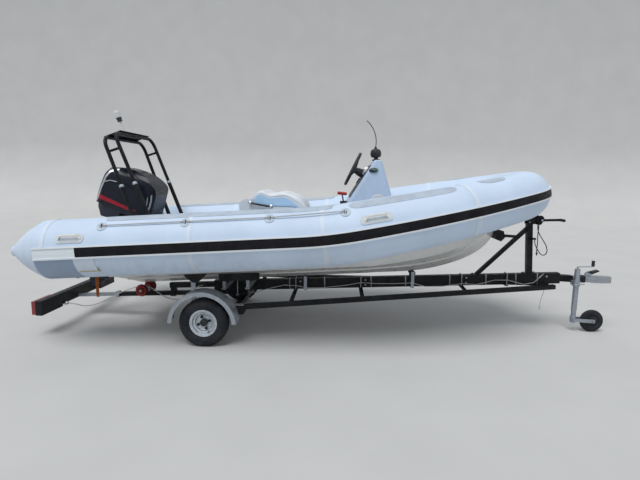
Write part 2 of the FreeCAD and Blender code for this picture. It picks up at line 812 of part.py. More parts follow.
def make_carry_handles():
    """Moulded grab handles: two feet and a raised grip."""
    pieces = []
    for side in SIDES:
        skin = side_strip(side, tube_section(SEAT_GAP), CONE_START_X)
        for x, degrees in HANDLES:
            centre, outward = over_tube(x, side, 0, degrees)
            aft = over_tube(x - HANDLE_LENGTH / 2, side, 0, degrees)[0]
            fore = over_tube(x + HANDLE_LENGTH / 2, side, 0, degrees)[0]
            along = (fore - aft).normalize()
            low = centre + outward * 1.5
            pad = bar(low - along * 105, low + along * 105, 60, 6, up=outward)
            grip_low = centre + outward * 12
            grip_high = centre + outward * 29
            feet = [bar(grip_low + along * (72 * end) - along * 14,
                        grip_low + along * (72 * end) + along * 14, 38, 24, up=outward)
                    for end in (-1, 1)]
            grip = bar(grip_high - along * 86, grip_high + along * 86, 30, 12, up=outward)
            pieces.append(fused([pad, grip] + feet).cut(skin))
    return pieces


RING_STATIONS = (-711.0, -55.0, 593.0, 1187.0)
RING_DEG = 49.0
RING_PATCH_R = 42.0
ROPE_R = 5.0
ROPE_LIFT = 13.0


def make_lifeline_rings():
    """Round patches with a raised eye that hold the lifeline along each tube."""
    pieces = []
    for side in SIDES:
        skin = side_strip(side, tube_section(SEAT_GAP), CONE_START_X)
        for x in RING_STATIONS:
            foot, outward = over_tube(x, side, 0, RING_DEG)
            patch = Part.makeCylinder(RING_PATCH_R, 10, foot - outward * 7, outward)
            boss = Part.makeCone(26, 14, 9, foot, outward)
            eye_place = over_tube(x, side, ROPE_LIFT, RING_DEG)[0]
            eye = Part.makeTorus(14, 4.5, eye_place, FORWARD)
            hole = Part.makeCylinder(ROPE_R + 0.6, 80, eye_place - FORWARD * 40, FORWARD)
            pieces.append(fused([patch, boss, eye]).cut(hole).cut(skin))
    return pieces


def make_lifelines():
    """Taut rope through the eyes, one run from the first eye to the last on each side."""
    ropes = []
    for side in SIDES:
        points = [over_tube(x, side, ROPE_LIFT, RING_DEG)[0] for x in RING_STATIONS]
        runs = [rod(start, end, ROPE_R) for start, end in zip(points, points[1:])]
        knuckles = [Part.makeSphere(ROPE_R, point) for point in points]
        ropes.append(fused(runs + knuckles))
    return ropes


# Outboard motor

def on_motor(shape):
    """Places a shape drawn upright about the tilt axis."""
    placed = shape.copy()
    placed.rotate(V(0, 0, 0), PORT, TILT_REST_DEG)
    placed.translate(TILT_PIVOT)
    return on_boat(placed)


def trailer_lock(spreader_at, y):
    """Prop from the spreader bar to the swivel bracket, which keeps the motor raised."""
    turn = FreeCAD.Rotation(PORT, TILT_REST_DEG)
    high, low = [turn.multVec(vec_xz(pair)) for pair in SWIVEL_FRONT]
    along = (low - high).normalize()
    nearest = high + along * (spreader_at - high).dot(along)
    reach = (nearest - spreader_at)
    end = spreader_at + reach * (1 - SEAT_GAP / reach.Length)
    return bar(spreader_at + PORT * y, end + PORT * y, 12, 22, up=along)


def make_clamp_bracket():
    """Two plates hooked over the transom, joined by the tilt pin and a spreader bar."""
    aft = TRANSOM_AFT_X - TILT_PIVOT.x
    fore = aft + TRANSOM_THICK
    top = TRANSOM_TOP_Z - TILT_PIVOT.z
    profile = [
        (aft, top - 2), (aft, top - 270), (aft - 16, top - 276), (aft - 30, top - 180),
        (aft - 26, top + 20), (-28, 18), (0, 32, -20, 30), (28, 14, 22, 24),
        (fore + 34, top + 4), (fore + 34, top - 130), (fore + 6, top - 130),
        (fore, top - 124), (fore, top), (aft, top)]
    plates = [prism_y(profile, side * EAR_INNER, side * (EAR_INNER + EAR_THICK))
              for side in SIDES]
    pin_half = EAR_INNER + EAR_THICK
    pin = rod(V(0, -pin_half - 6, 0), V(0, pin_half + 6, 0), TILT_PIN_R)
    spreader_at = V(aft - 14, 0, top - 235)
    spreader = rod(spreader_at - PORT * EAR_INNER, spreader_at + PORT * EAR_INNER, 9)
    screws = []
    for side in SIDES:
        y = side * (EAR_INNER + EAR_THICK / 2)
        screws.append(rod(V(fore + 30, y, top - 96), V(fore + 78, y, top - 96), 8))
        screws.append(rod(V(fore + 78, y, top - 128), V(fore + 78, y, top - 64), 6))
    locks = [trailer_lock(spreader_at, y) for y in (-34.0, 34.0)]
    bracket = fused(plates + [pin, spreader] + screws + locks)
    bracket.translate(TILT_PIVOT)
    return on_boat(bracket)


SWIVEL_HALF = 93.0
SWIVEL_LOW_Z = -280.0
SWIVEL_TOP_Z = -42.0
SWIVEL_FRONT = ((-38.0, -120.0), (-66.0, SWIVEL_LOW_Z))


def make_swivel_bracket():
    """Swings on the tilt pin and carries the steering tube behind it."""
    lug = rod(V(0, -SWIVEL_HALF, 0), V(0, SWIVEL_HALF, 0), 27)
    web = prism_y([(-4, -27), (-24, 10), (-54, SWIVEL_TOP_Z), (-92, SWIVEL_TOP_Z),
                   (-92, SWIVEL_LOW_Z), SWIVEL_FRONT[1], SWIVEL_FRONT[0]], -52, 52)
    tube = rod(V(-STEER_BACK, 0, SWIVEL_LOW_Z), V(-STEER_BACK, 0, SWIVEL_TOP_Z), STEER_TUBE_R)
    bracket = fused([lug, web, tube])
    bracket = bracket.cut(rod(V(0, -200, 0), V(0, 200, 0), TILT_PIN_R + PIN_GAP))
    shaft = rod(V(-STEER_BACK, 0, -400), V(-STEER_BACK, 0, 100), STEER_PIN_R + PIN_GAP)
    return on_motor(bracket.cut(shaft))


def lens_wire(front_x, back_x, half, z):
    """Pointed oval in plan, for the leg and the strut."""
    middle = (front_x + back_x) / 2
    return outline([(front_x, 0), (back_x, 0, middle, half), (front_x, 0, middle, -half)],
                   lambda a, b: V(a, b, z))


def make_outboard_leg():
    """Pan, yokes, driveshaft housing, plate, gearcase and skeg."""
    pan_profile = [(-352, COWL_JOINT_Z), (-318, 20, -344, 50), (-288, -30), (-142, -30),
                   (-116, 46), (112, 46), (150, COWL_JOINT_Z, 142, 60)]
    pan = prism_y(pan_profile, -COWL_HALF + 14, COWL_HALF - 14)
    pan = pan.common(prism_z(cowl_plan(14.0), -200, 200))
    neck = Part.makeLoft([lens_wire(-150, -296, 88, -28), lens_wire(-152, -318, 62, -150),
                          lens_wire(-158, -312, 46, -330), lens_wire(-160, -318, 40, PLATE_Z)],
                         True, False)
    upper_yoke = box(-162, -76, -40, 40, SWIVEL_TOP_Z + 6, 47)
    lower_yoke = box(-190, -80, -24, 24, SWIVEL_LOW_Z - 34, SWIVEL_LOW_Z - 6)
    pin = rod(V(-STEER_BACK, 0, SWIVEL_LOW_Z - 30), V(-STEER_BACK, 0, SWIVEL_TOP_Z + 20),
              STEER_PIN_R)
    plate = prism_z([(-120, 0), (-210, 82, -140, 56), (-430, 70), (-462, 0, -456, 40),
                     (-430, -70, -456, -40), (-210, -82), (-120, 0, -140, -56)],
                    PLATE_Z - 6, PLATE_Z)
    strut = Part.makeLoft([lens_wire(-160, -325, 38, PLATE_Z - 2),
                           lens_wire(-160, -365, 26, PROP_Z + 20)], True, True)
    torpedo = turned([(0, 0), (0, 34), (-210, 46, -120, 52), (-261, 6, -250, 30), (-262, 0)],
                     V(PROP_FACE_X + PIN_GAP, 0, PROP_Z), FORWARD * -1, UP)
    skeg = prism_y([(-170, PROP_Z - 30), (-372, PROP_Z - 30), (-318, PROP_Z - 140),
                    (-262, PROP_Z - 150, -292, PROP_Z - 150)], -5, 5)
    return on_motor(fused([pan, neck, upper_yoke, lower_yoke, pin, plate, strut, torpedo, skeg]))


def cowl_plan(inset):
    """Plan of the cowl: rounded at the back, a little narrower in front."""
    half = COWL_HALF - inset
    front, back = 160 - inset, -387 + inset
    return [(front, -half + 62), (front, half - 62), (front - 62, half - 8, front - 14, half - 26),
            (-220, half), (back + 90, half), (back, half - 110, back + 24, half - 30),
            (back, -half + 110), (back + 90, -half, back + 24, -half + 30), (-220, -half),
            (front - 62, -half + 8), (front, -half + 62, front - 14, -half + 26)]


def cowl_form(inset, low_z):
    """Crossing of the cowl's side, front and plan outlines."""
    side = [(-387 + inset, low_z), (-372 + inset, 150), (-306 + inset, 428 - inset, -344 + inset, 310),
            (-62, 456 - inset, -180, 460 - inset), (148 - inset, 348 - inset, 60, 418 - inset),
            (160 - inset, 300), (160 - inset, 147), (150 - inset, low_z)]
    half = COWL_HALF - inset
    front = [(half, low_z), (half - 8, 300), (half - 92, 462 - inset, half - 30, 416 - inset),
             (-half + 92, 462 - inset), (-half + 8, 300, -half + 30, 416 - inset), (-half, low_z)]
    form = prism_y(side, -COWL_HALF, COWL_HALF)
    form = form.common(prism_x(front, -500, 300))
    return form.common(prism_z(cowl_plan(inset), low_z, 600))


def make_cowl():
    """Hollow engine cover, open below where it sits on the pan."""
    shell = cowl_form(0.0, COWL_JOINT_Z + SEAT_GAP)
    inside = cowl_form(COWL_WALL, COWL_JOINT_Z - 10)
    return on_motor(shell.cut(inside))


def make_engine_block():
    return on_motor(box(-290, 70, -125, 125, COWL_JOINT_Z, 330))


def make_propeller():
    """Three broad blades on a hub."""
    axis = FORWARD * -1
    base = V(PROP_FACE_X, 0, PROP_Z)
    hub = turned([(0, 0), (0, 33), (70, 33), (92, 20, 84, 30), (92, 0)], base, axis, UP)
    blades = []
    for index in range(3):
        half = [(24, -20), (24, 20), (PROP_R, 18, 95, 62), (PROP_R - 8, -30, PROP_R - 1, -6),
                (24, -20, 80, -52)]
        wire = outline(half, lambda a, b: V(0, b, a))
        blade = Part.Face(wire).extrude(V(5, 0, 0))
        blade.translate(V(-2.5, 0, 0))
        blade.rotate(V(0, 0, 0), UP, 38)
        blade.rotate(V(0, 0, 0), FORWARD, 120 * index)
        blade.translate(base + axis * 34)
        blades.append(blade)
    return on_motor(fused([hub] + blades))


# Trailer

PITCH_TAN = math.tan(math.radians(SPINE_PITCH_DEG))


def spine_z(x, offset=0.0):
    """Height of the spine's centre line, or of a line parallel to it."""
    return SPINE_AT_AXLE_Z + x * PITCH_TAN + offset


def spine_bar(x0, x1, width, height, offset=0.0, wall=0.0, y=0.0):
    return bar(V(x0, y, spine_z(x0, offset)), V(x1, y, spine_z(x1, offset)), width, height, wall)


def make_spine():
    main = spine_bar(SPINE_AFT_X, SPINE_FRONT_X, SPINE_WIDTH, SPINE_HEIGHT, wall=SPINE_WALL)
    tail = spine_bar(TAIL_AFT_X, SPINE_AFT_X + 60, TAIL_SIZE, TAIL_SIZE, TAIL_LIFT, SPINE_WALL)
    cap = spine_bar(SPINE_AFT_X - 4, SPINE_AFT_X, SPINE_WIDTH, SPINE_HEIGHT)
    tongue = spine_bar(SPINE_FRONT_X - 4, SPINE_FRONT_X, SPINE_WIDTH, SPINE_HEIGHT)
    return fused([main, tail, cap, tongue, make_tail_bar(), make_drawbar()])


def solid_spine():
    """The spine's outer form, for what is cut to sit on it."""
    return spine_bar(SPINE_AFT_X, SPINE_FRONT_X, SPINE_WIDTH, SPINE_HEIGHT)


BAR_OFFSET = -SPINE_HEIGHT / 2 - BAR_SIZE / 2
TAIL_POST_X = -520.0


def make_tail_bar():
    """Extension below the spine that carries the stern rollers and the light board."""
    main = spine_bar(BAR_AFT_X, BAR_FRONT_X, BAR_SIZE, BAR_SIZE, BAR_OFFSET, 3.0)
    strap = spine_bar(TAIL_POST_X - 25, TAIL_POST_X + 25, SPINE_WIDTH + 12, BAR_SIZE + 12,
                      BAR_OFFSET)
    post = box(TAIL_POST_X - 20, TAIL_POST_X + 20, -SPINE_WIDTH / 2 - 3, SPINE_WIDTH / 2 + 3,
               spine_z(TAIL_POST_X, BAR_OFFSET),
               spine_z(TAIL_POST_X, -TAIL_SIZE / 2 + TAIL_LIFT))
    return fused([main, strap, post])


def make_slide_bar():
    """Galvanised bar sliding in the extension, with a clamp at its mouth."""
    front = BAR_AFT_X + 3
    back = BOARD_AFT_X + BOARD_WEB
    slide = spine_bar(back - 20, front, SLIDE_BAR_SIZE, SLIDE_BAR_SIZE, BAR_OFFSET, 3.0)
    slide = slide.cut(box(back - 60, back, -60, 60, 0, 400))
    collar = spine_bar(BAR_AFT_X - 34, BAR_AFT_X - SEAT_GAP, BAR_SIZE + 14, BAR_SIZE + 14,
                       BAR_OFFSET)
    collar = collar.cut(spine_bar(BAR_AFT_X - 60, BAR_AFT_X, SLIDE_BAR_SIZE, SLIDE_BAR_SIZE,
                                  BAR_OFFSET))
    return fused([slide, collar])


def make_rail(side, wall=RAIL_WALL):
    """Side rail from the axle to the front of the spine, in plan a long V with its twin."""
    start = V(RAIL_AFT.x, side * RAIL_AFT.y, RAIL_AFT.z)
    end = V(RAIL_FRONT.x, side * RAIL_FRONT.y, RAIL_FRONT.z)
    return bar(start, end, RAIL_SIZE, RAIL_SIZE, wall)


def rail_point(x, side):
    share = (x - RAIL_AFT.x) / (RAIL_FRONT.x - RAIL_AFT.x)
    return V(x, side * (RAIL_AFT.y + (RAIL_FRONT.y - RAIL_AFT.y) * share),
             RAIL_AFT.z + (RAIL_FRONT.z - RAIL_AFT.z) * share)


CROSS_STATIONS = (700.0, 1330.0, 2290.0)
GUSSET_X = (3010.0, 3070.0)


def make_cross_members():
    """Flat bars under the spine, out and down to the rails."""
    pieces = []
    for x in CROSS_STATIONS:
        low = spine_z(x, -SPINE_HEIGHT / 2 - 4.5)
        member = [bar(V(x, -SPINE_WIDTH / 2 - 14, low), V(x, SPINE_WIDTH / 2 + 14, low), 36, 9)]
        for side in SIDES:
            rail = rail_point(x, side)
            inner = V(x, side * (SPINE_WIDTH / 2 + 8), low)
            member.append(bar(inner, V(x, rail.y, rail.z), 36, 9))
        member = fused(member).cut(solid_spine())
        for side in SIDES:
            leg = V(x, side * U_BOLT_HALF, low)
            member = member.cut(make_rail(side, 0.0))
            member = member.cut(rod(leg - UP * 40, leg + UP * 40, U_BOLT_R + SEAT_GAP))
        pieces.append(member)
    for side in SIDES:
        aft, fore = rail_point(GUSSET_X[0], side), rail_point(GUSSET_X[1], side)
        inner = side * SPINE_WIDTH / 2
        plan = [(aft.x, inner), (fore.x, inner), (fore.x, fore.y), (aft.x, aft.y)]
        gusset = prism_z(plan, aft.z, aft.z + 26)
        pieces.append(gusset.cut(make_rail(side, 0.0)).cut(solid_spine()))
    return pieces


# U-bolts over the spine: x, and how far the legs reach below it
U_BOLTS = [(128.0, 52.0), (700.0, 20.0), (1330.0, 20.0), (2290.0, 20.0), (2715.0, 16.0)]
U_BOLT_R = 5.0
U_BOLT_BEND = 8.0
U_BOLT_LIFT = U_BOLT_R + 1.5
U_BOLT_HALF = SPINE_WIDTH / 2 + U_BOLT_LIFT


def make_u_bolts():
    """Galvanised U-bolts over the spine; where nothing crosses below, a plate closes them."""
    pieces = []
    for x, drop in U_BOLTS:
        top = spine_z(x, SPINE_HEIGHT / 2 + U_BOLT_LIFT)
        low = spine_z(x, -SPINE_HEIGHT / 2 - drop)
        points = [V(x, -U_BOLT_HALF, low), V(x, -U_BOLT_HALF, top), V(x, U_BOLT_HALF, top),
                  V(x, U_BOLT_HALF, low)]
        bolt = [bent_rod(points, U_BOLT_R, U_BOLT_BEND)]
        if x not in CROSS_STATIONS:
            bolt.append(box(x - 16, x + 16, -U_BOLT_HALF - 12, U_BOLT_HALF + 12, low + 5, low + 11))
        bolt += [Part.makeCylinder(9, 7, V(x, side * U_BOLT_HALF, low + 2)) for side in SIDES]
        pieces.append(fused(bolt))
    return pieces


def make_axle():
    """Square torsion axle with its trailing arms, stubs and rail brackets."""
    beam = box(AXLE_X - AXLE_SIZE / 2, AXLE_X + AXLE_SIZE / 2, -AXLE_HALF, AXLE_HALF,
               AXLE_Z - AXLE_SIZE / 2, AXLE_Z + AXLE_SIZE / 2)
    pieces = [beam]
    for side in SIDES:
        arm_y = side * (AXLE_HALF + SWING_ARM_THICK / 2)
        arm = bar(V(AXLE_X + 20, arm_y, AXLE_Z), V(-26, arm_y, WHEEL_R), SWING_ARM_THICK, 46)
        stub = rod(V(0, side * AXLE_HALF, WHEEL_R), V(0, side * (TRACK_HALF - 6), WHEEL_R), STUB_R)
        rail = rail_point(RAIL_AFT.x + 30, side)
        shelf_y = (side * 500, side * SHELF_OUT_Y)
        shelf = box(AXLE_X - 20, RAIL_AFT.x + 46, min(shelf_y), max(shelf_y),
                    AXLE_Z + AXLE_SIZE / 2, AXLE_Z + AXLE_SIZE / 2 + 6)
        web_y = (rail.y - side * 18, side * SHELF_OUT_Y)
        web = box(RAIL_AFT.x + 4, RAIL_AFT.x + 46, min(web_y), max(web_y),
                  AXLE_Z + AXLE_SIZE / 2, RAIL_AFT.z - RAIL_SIZE / 2)
        pieces += [arm, stub, shelf, web]
    saddle = box(AXLE_X - 36, AXLE_X + 36, -34, 34, AXLE_Z + AXLE_SIZE / 2,
                 spine_z(AXLE_X - 36, -SPINE_HEIGHT / 2))
    return fused(pieces + [saddle])


def make_fender(side):
    """Half-round mudguard with a rolled outer lip and a stay to the rail."""
    start_deg, end_deg = 4.0, 176.0
    centre = V(0, 0, 196)

    def at(radius, degrees, y):
        angle = math.radians(degrees)
        return V(centre.x + radius * math.cos(angle), y, centre.z + radius * math.sin(angle))

    def arch_strip(inner, outer, y0, y1):
        middle = (start_deg + end_deg) / 2
        wire = Part.Wire([
            Part.Arc(at(outer, start_deg, y0), at(outer, middle, y0),
                     at(outer, end_deg, y0)).toShape(),
            Part.LineSegment(at(outer, end_deg, y0), at(inner, end_deg, y0)).toShape(),
            Part.Arc(at(inner, end_deg, y0), at(inner, middle, y0),
                     at(inner, start_deg, y0)).toShape(),
            Part.LineSegment(at(inner, start_deg, y0), at(outer, start_deg, y0)).toShape()])
        return Part.Face(wire).extrude(V(0, y1 - y0, 0))

    y_in = RAIL_AFT.y + RAIL_SIZE / 2 + FENDER_INSET
    y_out = TRACK_HALF + FENDER_HALF_WIDTH
    sheet = arch_strip(FENDER_R - FENDER_SHEET, FENDER_R, y_in, y_out)
    outer_lip = arch_strip(FENDER_R - FENDER_LIP, FENDER_R, y_out - FENDER_SHEET, y_out)
    tab_z = RAIL_AFT.z + RAIL_SIZE / 2 + 3
    tab = box(FENDER_R - 48, FENDER_R + 34, RAIL_AFT.y - 14, y_in + 8, tab_z, tab_z + 5)
    stay_top_z = centre.z + math.sqrt(FENDER_R ** 2 - AXLE_X ** 2) - FENDER_SHEET - 2
    stay = bar(V(AXLE_X, AXLE_HALF - 20, AXLE_Z + AXLE_SIZE / 2 + 8),
               V(AXLE_X, y_in + 12, stay_top_z), 30, 5, up=FORWARD)
    stay = stay.cut(box(0, 400, 400, 700, 0, AXLE_Z + AXLE_SIZE / 2 + 6))
    fender = fused([sheet, outer_lip, tab, stay])
    if side == STARBOARD_SIDE:
        fender = mirrored(fender)
    return fender


def make_tyre(side):
    """Cross-ply trailer tyre with rounded shoulders and three tread grooves."""
    half = TYRE_WIDTH / 2
    bead_half = RIM_WIDTH / 2 - RIM_WALL - 1 - SEAT_GAP
    groove = 5.0
    points = [(-bead_half, RIM_SEAT_R + SEAT_GAP), (-bead_half, RIM_FLANGE_R + 1),
              (-half, RIM_SEAT_R + 48, -half + 5, RIM_SEAT_R + 26),
              (-half + 16, WHEEL_R - 8, -half + 3, WHEEL_R - 26)]
    for y in (-24, 0, 24):
        points += [(y - 4, WHEEL_R - abs(y) / 12), (y - 3, WHEEL_R - groove),
                   (y + 3, WHEEL_R - groove), (y + 4, WHEEL_R - abs(y) / 12)]
    points += [(half - 16, WHEEL_R - 8),
               (half, RIM_SEAT_R + 48, half - 3, WHEEL_R - 26),
               (bead_half, RIM_FLANGE_R + 1, half - 5, RIM_SEAT_R + 26),
               (bead_half, RIM_SEAT_R + SEAT_GAP)]
    return turned(points, V(0, side * TRACK_HALF, WHEEL_R), PORT, FORWARD)


def make_rim(side):
    """Pressed steel rim with its disc, studs, hub and grease cap."""
    outward = PORT * side
    centre = V(0, side * TRACK_HALF, WHEEL_R)
    half = RIM_WIDTH / 2
    seat = RIM_SEAT_R
    profile = [
        (-half, RIM_FLANGE_R), (-half, RIM_FLANGE_R - 4), (-half + RIM_WALL, seat - RIM_WALL - 4),
        (-half + 14, seat - 14), (half - 14, seat - 14),
        (half - RIM_WALL, seat - RIM_WALL - 4), (half, RIM_FLANGE_R - 4), (half, RIM_FLANGE_R),
        (half - RIM_WALL, RIM_FLANGE_R), (half - RIM_WALL - 1, seat), (half - 16, seat - 1),
        (half - 18, seat - 10), (-half + 18, seat - 10), (-half + 16, seat - 1),
        (-half + RIM_WALL + 1, seat), (-half + RIM_WALL, RIM_FLANGE_R)]
    rim = turned(profile, centre, outward, FORWARD)
    disc = turned([(-2, 20), (-2, 58), (16, 74, 4, 68), (20, seat - 13), (24, seat - 13),
                   (20, 74), (3, 58, 8, 69), (3, 20)], centre, outward, FORWARD)
    hub_start = centre + outward * (HUB_INNER - TRACK_HALF)
    hub = Part.makeCylinder(34, TRACK_HALF - HUB_INNER - 2, hub_start, outward)
    flange = Part.makeCylinder(HUB_R - 8, 8, centre - outward * 10, outward)
    cap = turned([(0, 24), (0, 31), (24, 30), (33, 20, 31, 28), (33, 0), (28, 0), (24, 24)],
                 centre, outward, FORWARD)
    studs = []
    for index in range(WHEEL_STUDS):
        angle = math.radians(20 + 360 * index / WHEEL_STUDS)
        place = FORWARD * math.cos(angle) + UP * math.sin(angle)
        nut_seat = centre + place * (WHEEL_STUD_PCD / 2) + outward * 2
        nut = Part.makeCylinder(WHEEL_NUT_R, 16, nut_seat, outward)
        studs.append(nut)
    wheel = fused([rim, disc, hub, flange, cap] + studs)
    bore = Part.makeCylinder(STUB_R + PIN_GAP, TRACK_HALF - HUB_INNER + 26,
                             hub_start - outward * 10, outward)
    return wheel.cut(bore)


# keel rollers: x along the spine
KEEL_ROLLERS = (795.0, 1820.0)
ROLLER_CORE_R = 14.0
ROLLER_FLARE_R = 27.0
ROLLER_CORE_HALF = 31.0
ROLLER_HALF = 60.0
ROLLER_PIN_R = 5.0
BRACKET_STRAP = 5.0


def keel_z(x):
    """Height of the keel line above a place on the trailer."""
    below = boat_point(V(x, 0, KEEL_Z))
    return below.z - (below.x - x) * math.tan(math.radians(TRIM_DEG))


def roller_centre(x):
    return V(x, 0, keel_z(x) - ROLLER_CORE_R - 1.0)


def make_keel_rollers():
    """Bow-tie rollers: a slim core under the keel and flared ends outside the spine."""
    rollers = []
    for x in KEEL_ROLLERS:
        bore = ROLLER_PIN_R + PIN_GAP
        profile = [(-ROLLER_HALF, bore), (-ROLLER_HALF, ROLLER_FLARE_R - 5),
                   (-ROLLER_HALF + 5, ROLLER_FLARE_R), (-ROLLER_CORE_HALF, ROLLER_CORE_R),
                   (ROLLER_CORE_HALF, ROLLER_CORE_R), (ROLLER_HALF - 5, ROLLER_FLARE_R),
                   (ROLLER_HALF, ROLLER_FLARE_R - 5), (ROLLER_HALF, bore)]
        rollers.append(turned(profile, roller_centre(x), PORT, UP))
    return rollers


def make_roller_brackets():
    """Galvanised straps from under the spine up to the roller's pin."""
    pieces = []
    for x in KEEL_ROLLERS:
        centre = roller_centre(x)
        wall = ROLLER_HALF + 1.5
        low_z = spine_z(x - 15, -SPINE_HEIGHT / 2) - SEAT_GAP
        parts = [box(x - 15, x + 15, -wall - BRACKET_STRAP, wall + BRACKET_STRAP,
                     low_z - BRACKET_STRAP, low_z),
                 rod(V(x, -wall - 12, centre.z), V(x, wall + 12, centre.z), ROLLER_PIN_R)]
        for side in SIDES:
            near, far = sorted((side * wall, side * (wall + BRACKET_STRAP)))
            parts.append(box(x - 15, x + 15, near, far, low_z - BRACKET_STRAP, centre.z + 15))
        pieces.append(fused(parts))
    return pieces


STERN_ROLLER_X = -800.0
STERN_ROLLER_R = 60.0
STERN_ROLLER_Y = 100.0
STERN_ROLLER_HALF = 22.0
# height at which the rollers touch the V bottom beside the keel
STERN_ROLLER_Z = 297.0


def make_stern_rollers():
    rollers = []
    for side in SIDES:
        base = V(STERN_ROLLER_X, side * STERN_ROLLER_Y, STERN_ROLLER_Z)
        profile = [(-STERN_ROLLER_HALF, 9.3), (-STERN_ROLLER_HALF, 34), (-STERN_ROLLER_HALF + 6, 36),
                   (-STERN_ROLLER_HALF + 6, 52), (STERN_ROLLER_HALF - 6, 52, 0, STERN_ROLLER_R),
                   (STERN_ROLLER_HALF - 6, 36), (STERN_ROLLER_HALF, 34), (STERN_ROLLER_HALF, 9.3)]
        rollers.append(turned(profile, base, PORT, UP))
    return rollers


def make_stern_bracket():
    """Cross pin and saddle under the stern rollers."""
    z = STERN_ROLLER_Z
    pin = rod(V(STERN_ROLLER_X, -STERN_ROLLER_Y - 34, z), V(STERN_ROLLER_X, STERN_ROLLER_Y + 34, z),
              9)
    bar_top = spine_z(STERN_ROLLER_X, BAR_OFFSET + BAR_SIZE / 2)
    saddle = box(STERN_ROLLER_X - 30, STERN_ROLLER_X + 30, -BAR_SIZE / 2 - 5, BAR_SIZE / 2 + 5,
                 bar_top + 2, z + 14)
    return fused([pin, saddle])


SUPPORT_X = -170.0
SUPPORT_Y = 450.0
SUPPORT_POST_TOP_Z = 506.0


def support_post(side):
    arm_top = spine_z(SUPPORT_X - 20, -SPINE_HEIGHT / 2 - BAR_SIZE)
    return box(SUPPORT_X - 20, SUPPORT_X + 20, side * SUPPORT_Y - 6, side * SUPPORT_Y + 6,
               arm_top, SUPPORT_POST_TOP_Z)


def make_support_frame():
    """Cross arm under the spine with a galvanised post at each end."""
    arm_top = spine_z(SUPPORT_X - 20, -SPINE_HEIGHT / 2 - BAR_SIZE)
    arm = box(SUPPORT_X - 20, SUPPORT_X + 20, -SUPPORT_Y - 40, SUPPORT_Y + 40, arm_top - 32,
              arm_top)
    return fused([arm] + [support_post(side) for side in SIDES])


def make_support_pads():
    """Black wing-shaped pads under the hull's turn of bilge."""
    x = SUPPORT_X
    top = bilge_z(SUPPORT_Y)
    wing = [(x - 90, top + 60), (x - 90, top - 8), (x - 60, top - 34), (x - 22, top - 66),
            (x + 22, top - 66), (x + 60, top - 36), (x + 90, top - 8), (x + 90, top + 60)]
    pads = []
    for side in SIDES:
        y_in, y_out = side * (SUPPORT_Y - 34), side * (SUPPORT_Y + 34)
        block = under_bilge(y_in, y_out, 90, x - 100, x + 100)
        pad = block.common(prism_y(wing, min(y_in, y_out), max(y_in, y_out)))
        pads.append(on_boat(pad).cut(support_post(side)))
    return pads


BUNK_X = (20.0, 370.0)
BUNK_Y = (314.0, 400.0)
BUNK_DEPTH = 42.0
BUNK_BAR_X = (86.0, 300.0)
BUNK_BAR_THICK = 10.0


def make_bunks():
    """Black padded bunks under the bilges."""
    bunks = []
    for side in SIDES:
        bunk = under_bilge(side * BUNK_Y[0], side * BUNK_Y[1], BUNK_DEPTH, *BUNK_X)
        bunks.append(on_boat(bunk))
    return bunks


def make_bunk_frame():
    """Flat bars over the spine, with stems that carry the bunks."""
    pieces = []
    for x in BUNK_BAR_X:
        z = spine_z(x + 20, SPINE_HEIGHT / 2)
        parts = [box(x - 20, x + 20, -BUNK_Y[1], BUNK_Y[1], z, z + BUNK_BAR_THICK)]
        for side in SIDES:
            y_in, y_out = sorted((side * (BUNK_Y[0] + 20), side * (BUNK_Y[1] - 20)))
            stem = box(x - 14, x + 14, y_in, y_out, z, bilge_z(BUNK_Y[1]))
            parts.append(stem)
        frame = fused(parts)
        for bunk in make_bunks():
            frame = frame.cut(bunk)
        pieces.append(max(frame.Solids, key=lambda solid: solid.Volume))
    return pieces


POST_X = 2912.0
POST_SIZE = 50.0
POST_TOP_Z = 1005.0


POST_FOOT = V(POST_X + 18, 0, spine_z(POST_X + 18))
POST_TOP = V(POST_X - 16, 0, POST_TOP_Z)
STRUT_SIZE = 34.0
STRUT_LOW_X = 2435.0
CLEAT_X = (2906.0, 2946.0)
CLEAT_Z = (860.0, 876.0)


def post_bar(size, wall=0.0):
    """Post from inside the spine to above its top, to be cut flush with both."""
    return bar(POST_FOOT, POST_TOP + (POST_TOP - POST_FOOT) * 0.1, size, size, wall, up=FORWARD)


def strut_bar():
    return bar(V(STRUT_LOW_X, 0, spine_z(STRUT_LOW_X, SPINE_HEIGHT / 2)),
               V(POST_X - 8, 0, POST_TOP_Z - 20), STRUT_SIZE, STRUT_SIZE)


def make_winch_post():
    """Upright on the spine with its raking strut and a rope cleat."""
    above = box(POST_X - 200, POST_X + 200, -60, 60, POST_TOP_Z, POST_TOP_Z + 200)
    post = post_bar(POST_SIZE, SPINE_WALL).cut(above)
    cap = box(POST_X - 60, POST_X + 60, -60, 60, POST_TOP_Z - 4, POST_TOP_Z)
    cap = cap.common(post_bar(POST_SIZE))
    foot_plate = spine_bar(POST_X - 42, POST_X + 82, SPINE_WIDTH, 6, SPINE_HEIGHT / 2 + 3)
    foot_plate = foot_plate.cut(post_bar(POST_SIZE - 1))
    strut_plate = spine_bar(STRUT_LOW_X - 45, STRUT_LOW_X + 45, SPINE_WIDTH, 6,
                            SPINE_HEIGHT / 2 + 3)
    cleat = box(CLEAT_X[0], CLEAT_X[1], -58, -POST_SIZE / 2, CLEAT_Z[0], CLEAT_Z[1])
    strut = strut_bar().cut(post_bar(POST_SIZE - 1))
    strut = max(strut.Solids, key=lambda solid: solid.Volume)
    return fused([post, cap, foot_plate, strut_plate, strut, cleat]).cut(solid_spine())


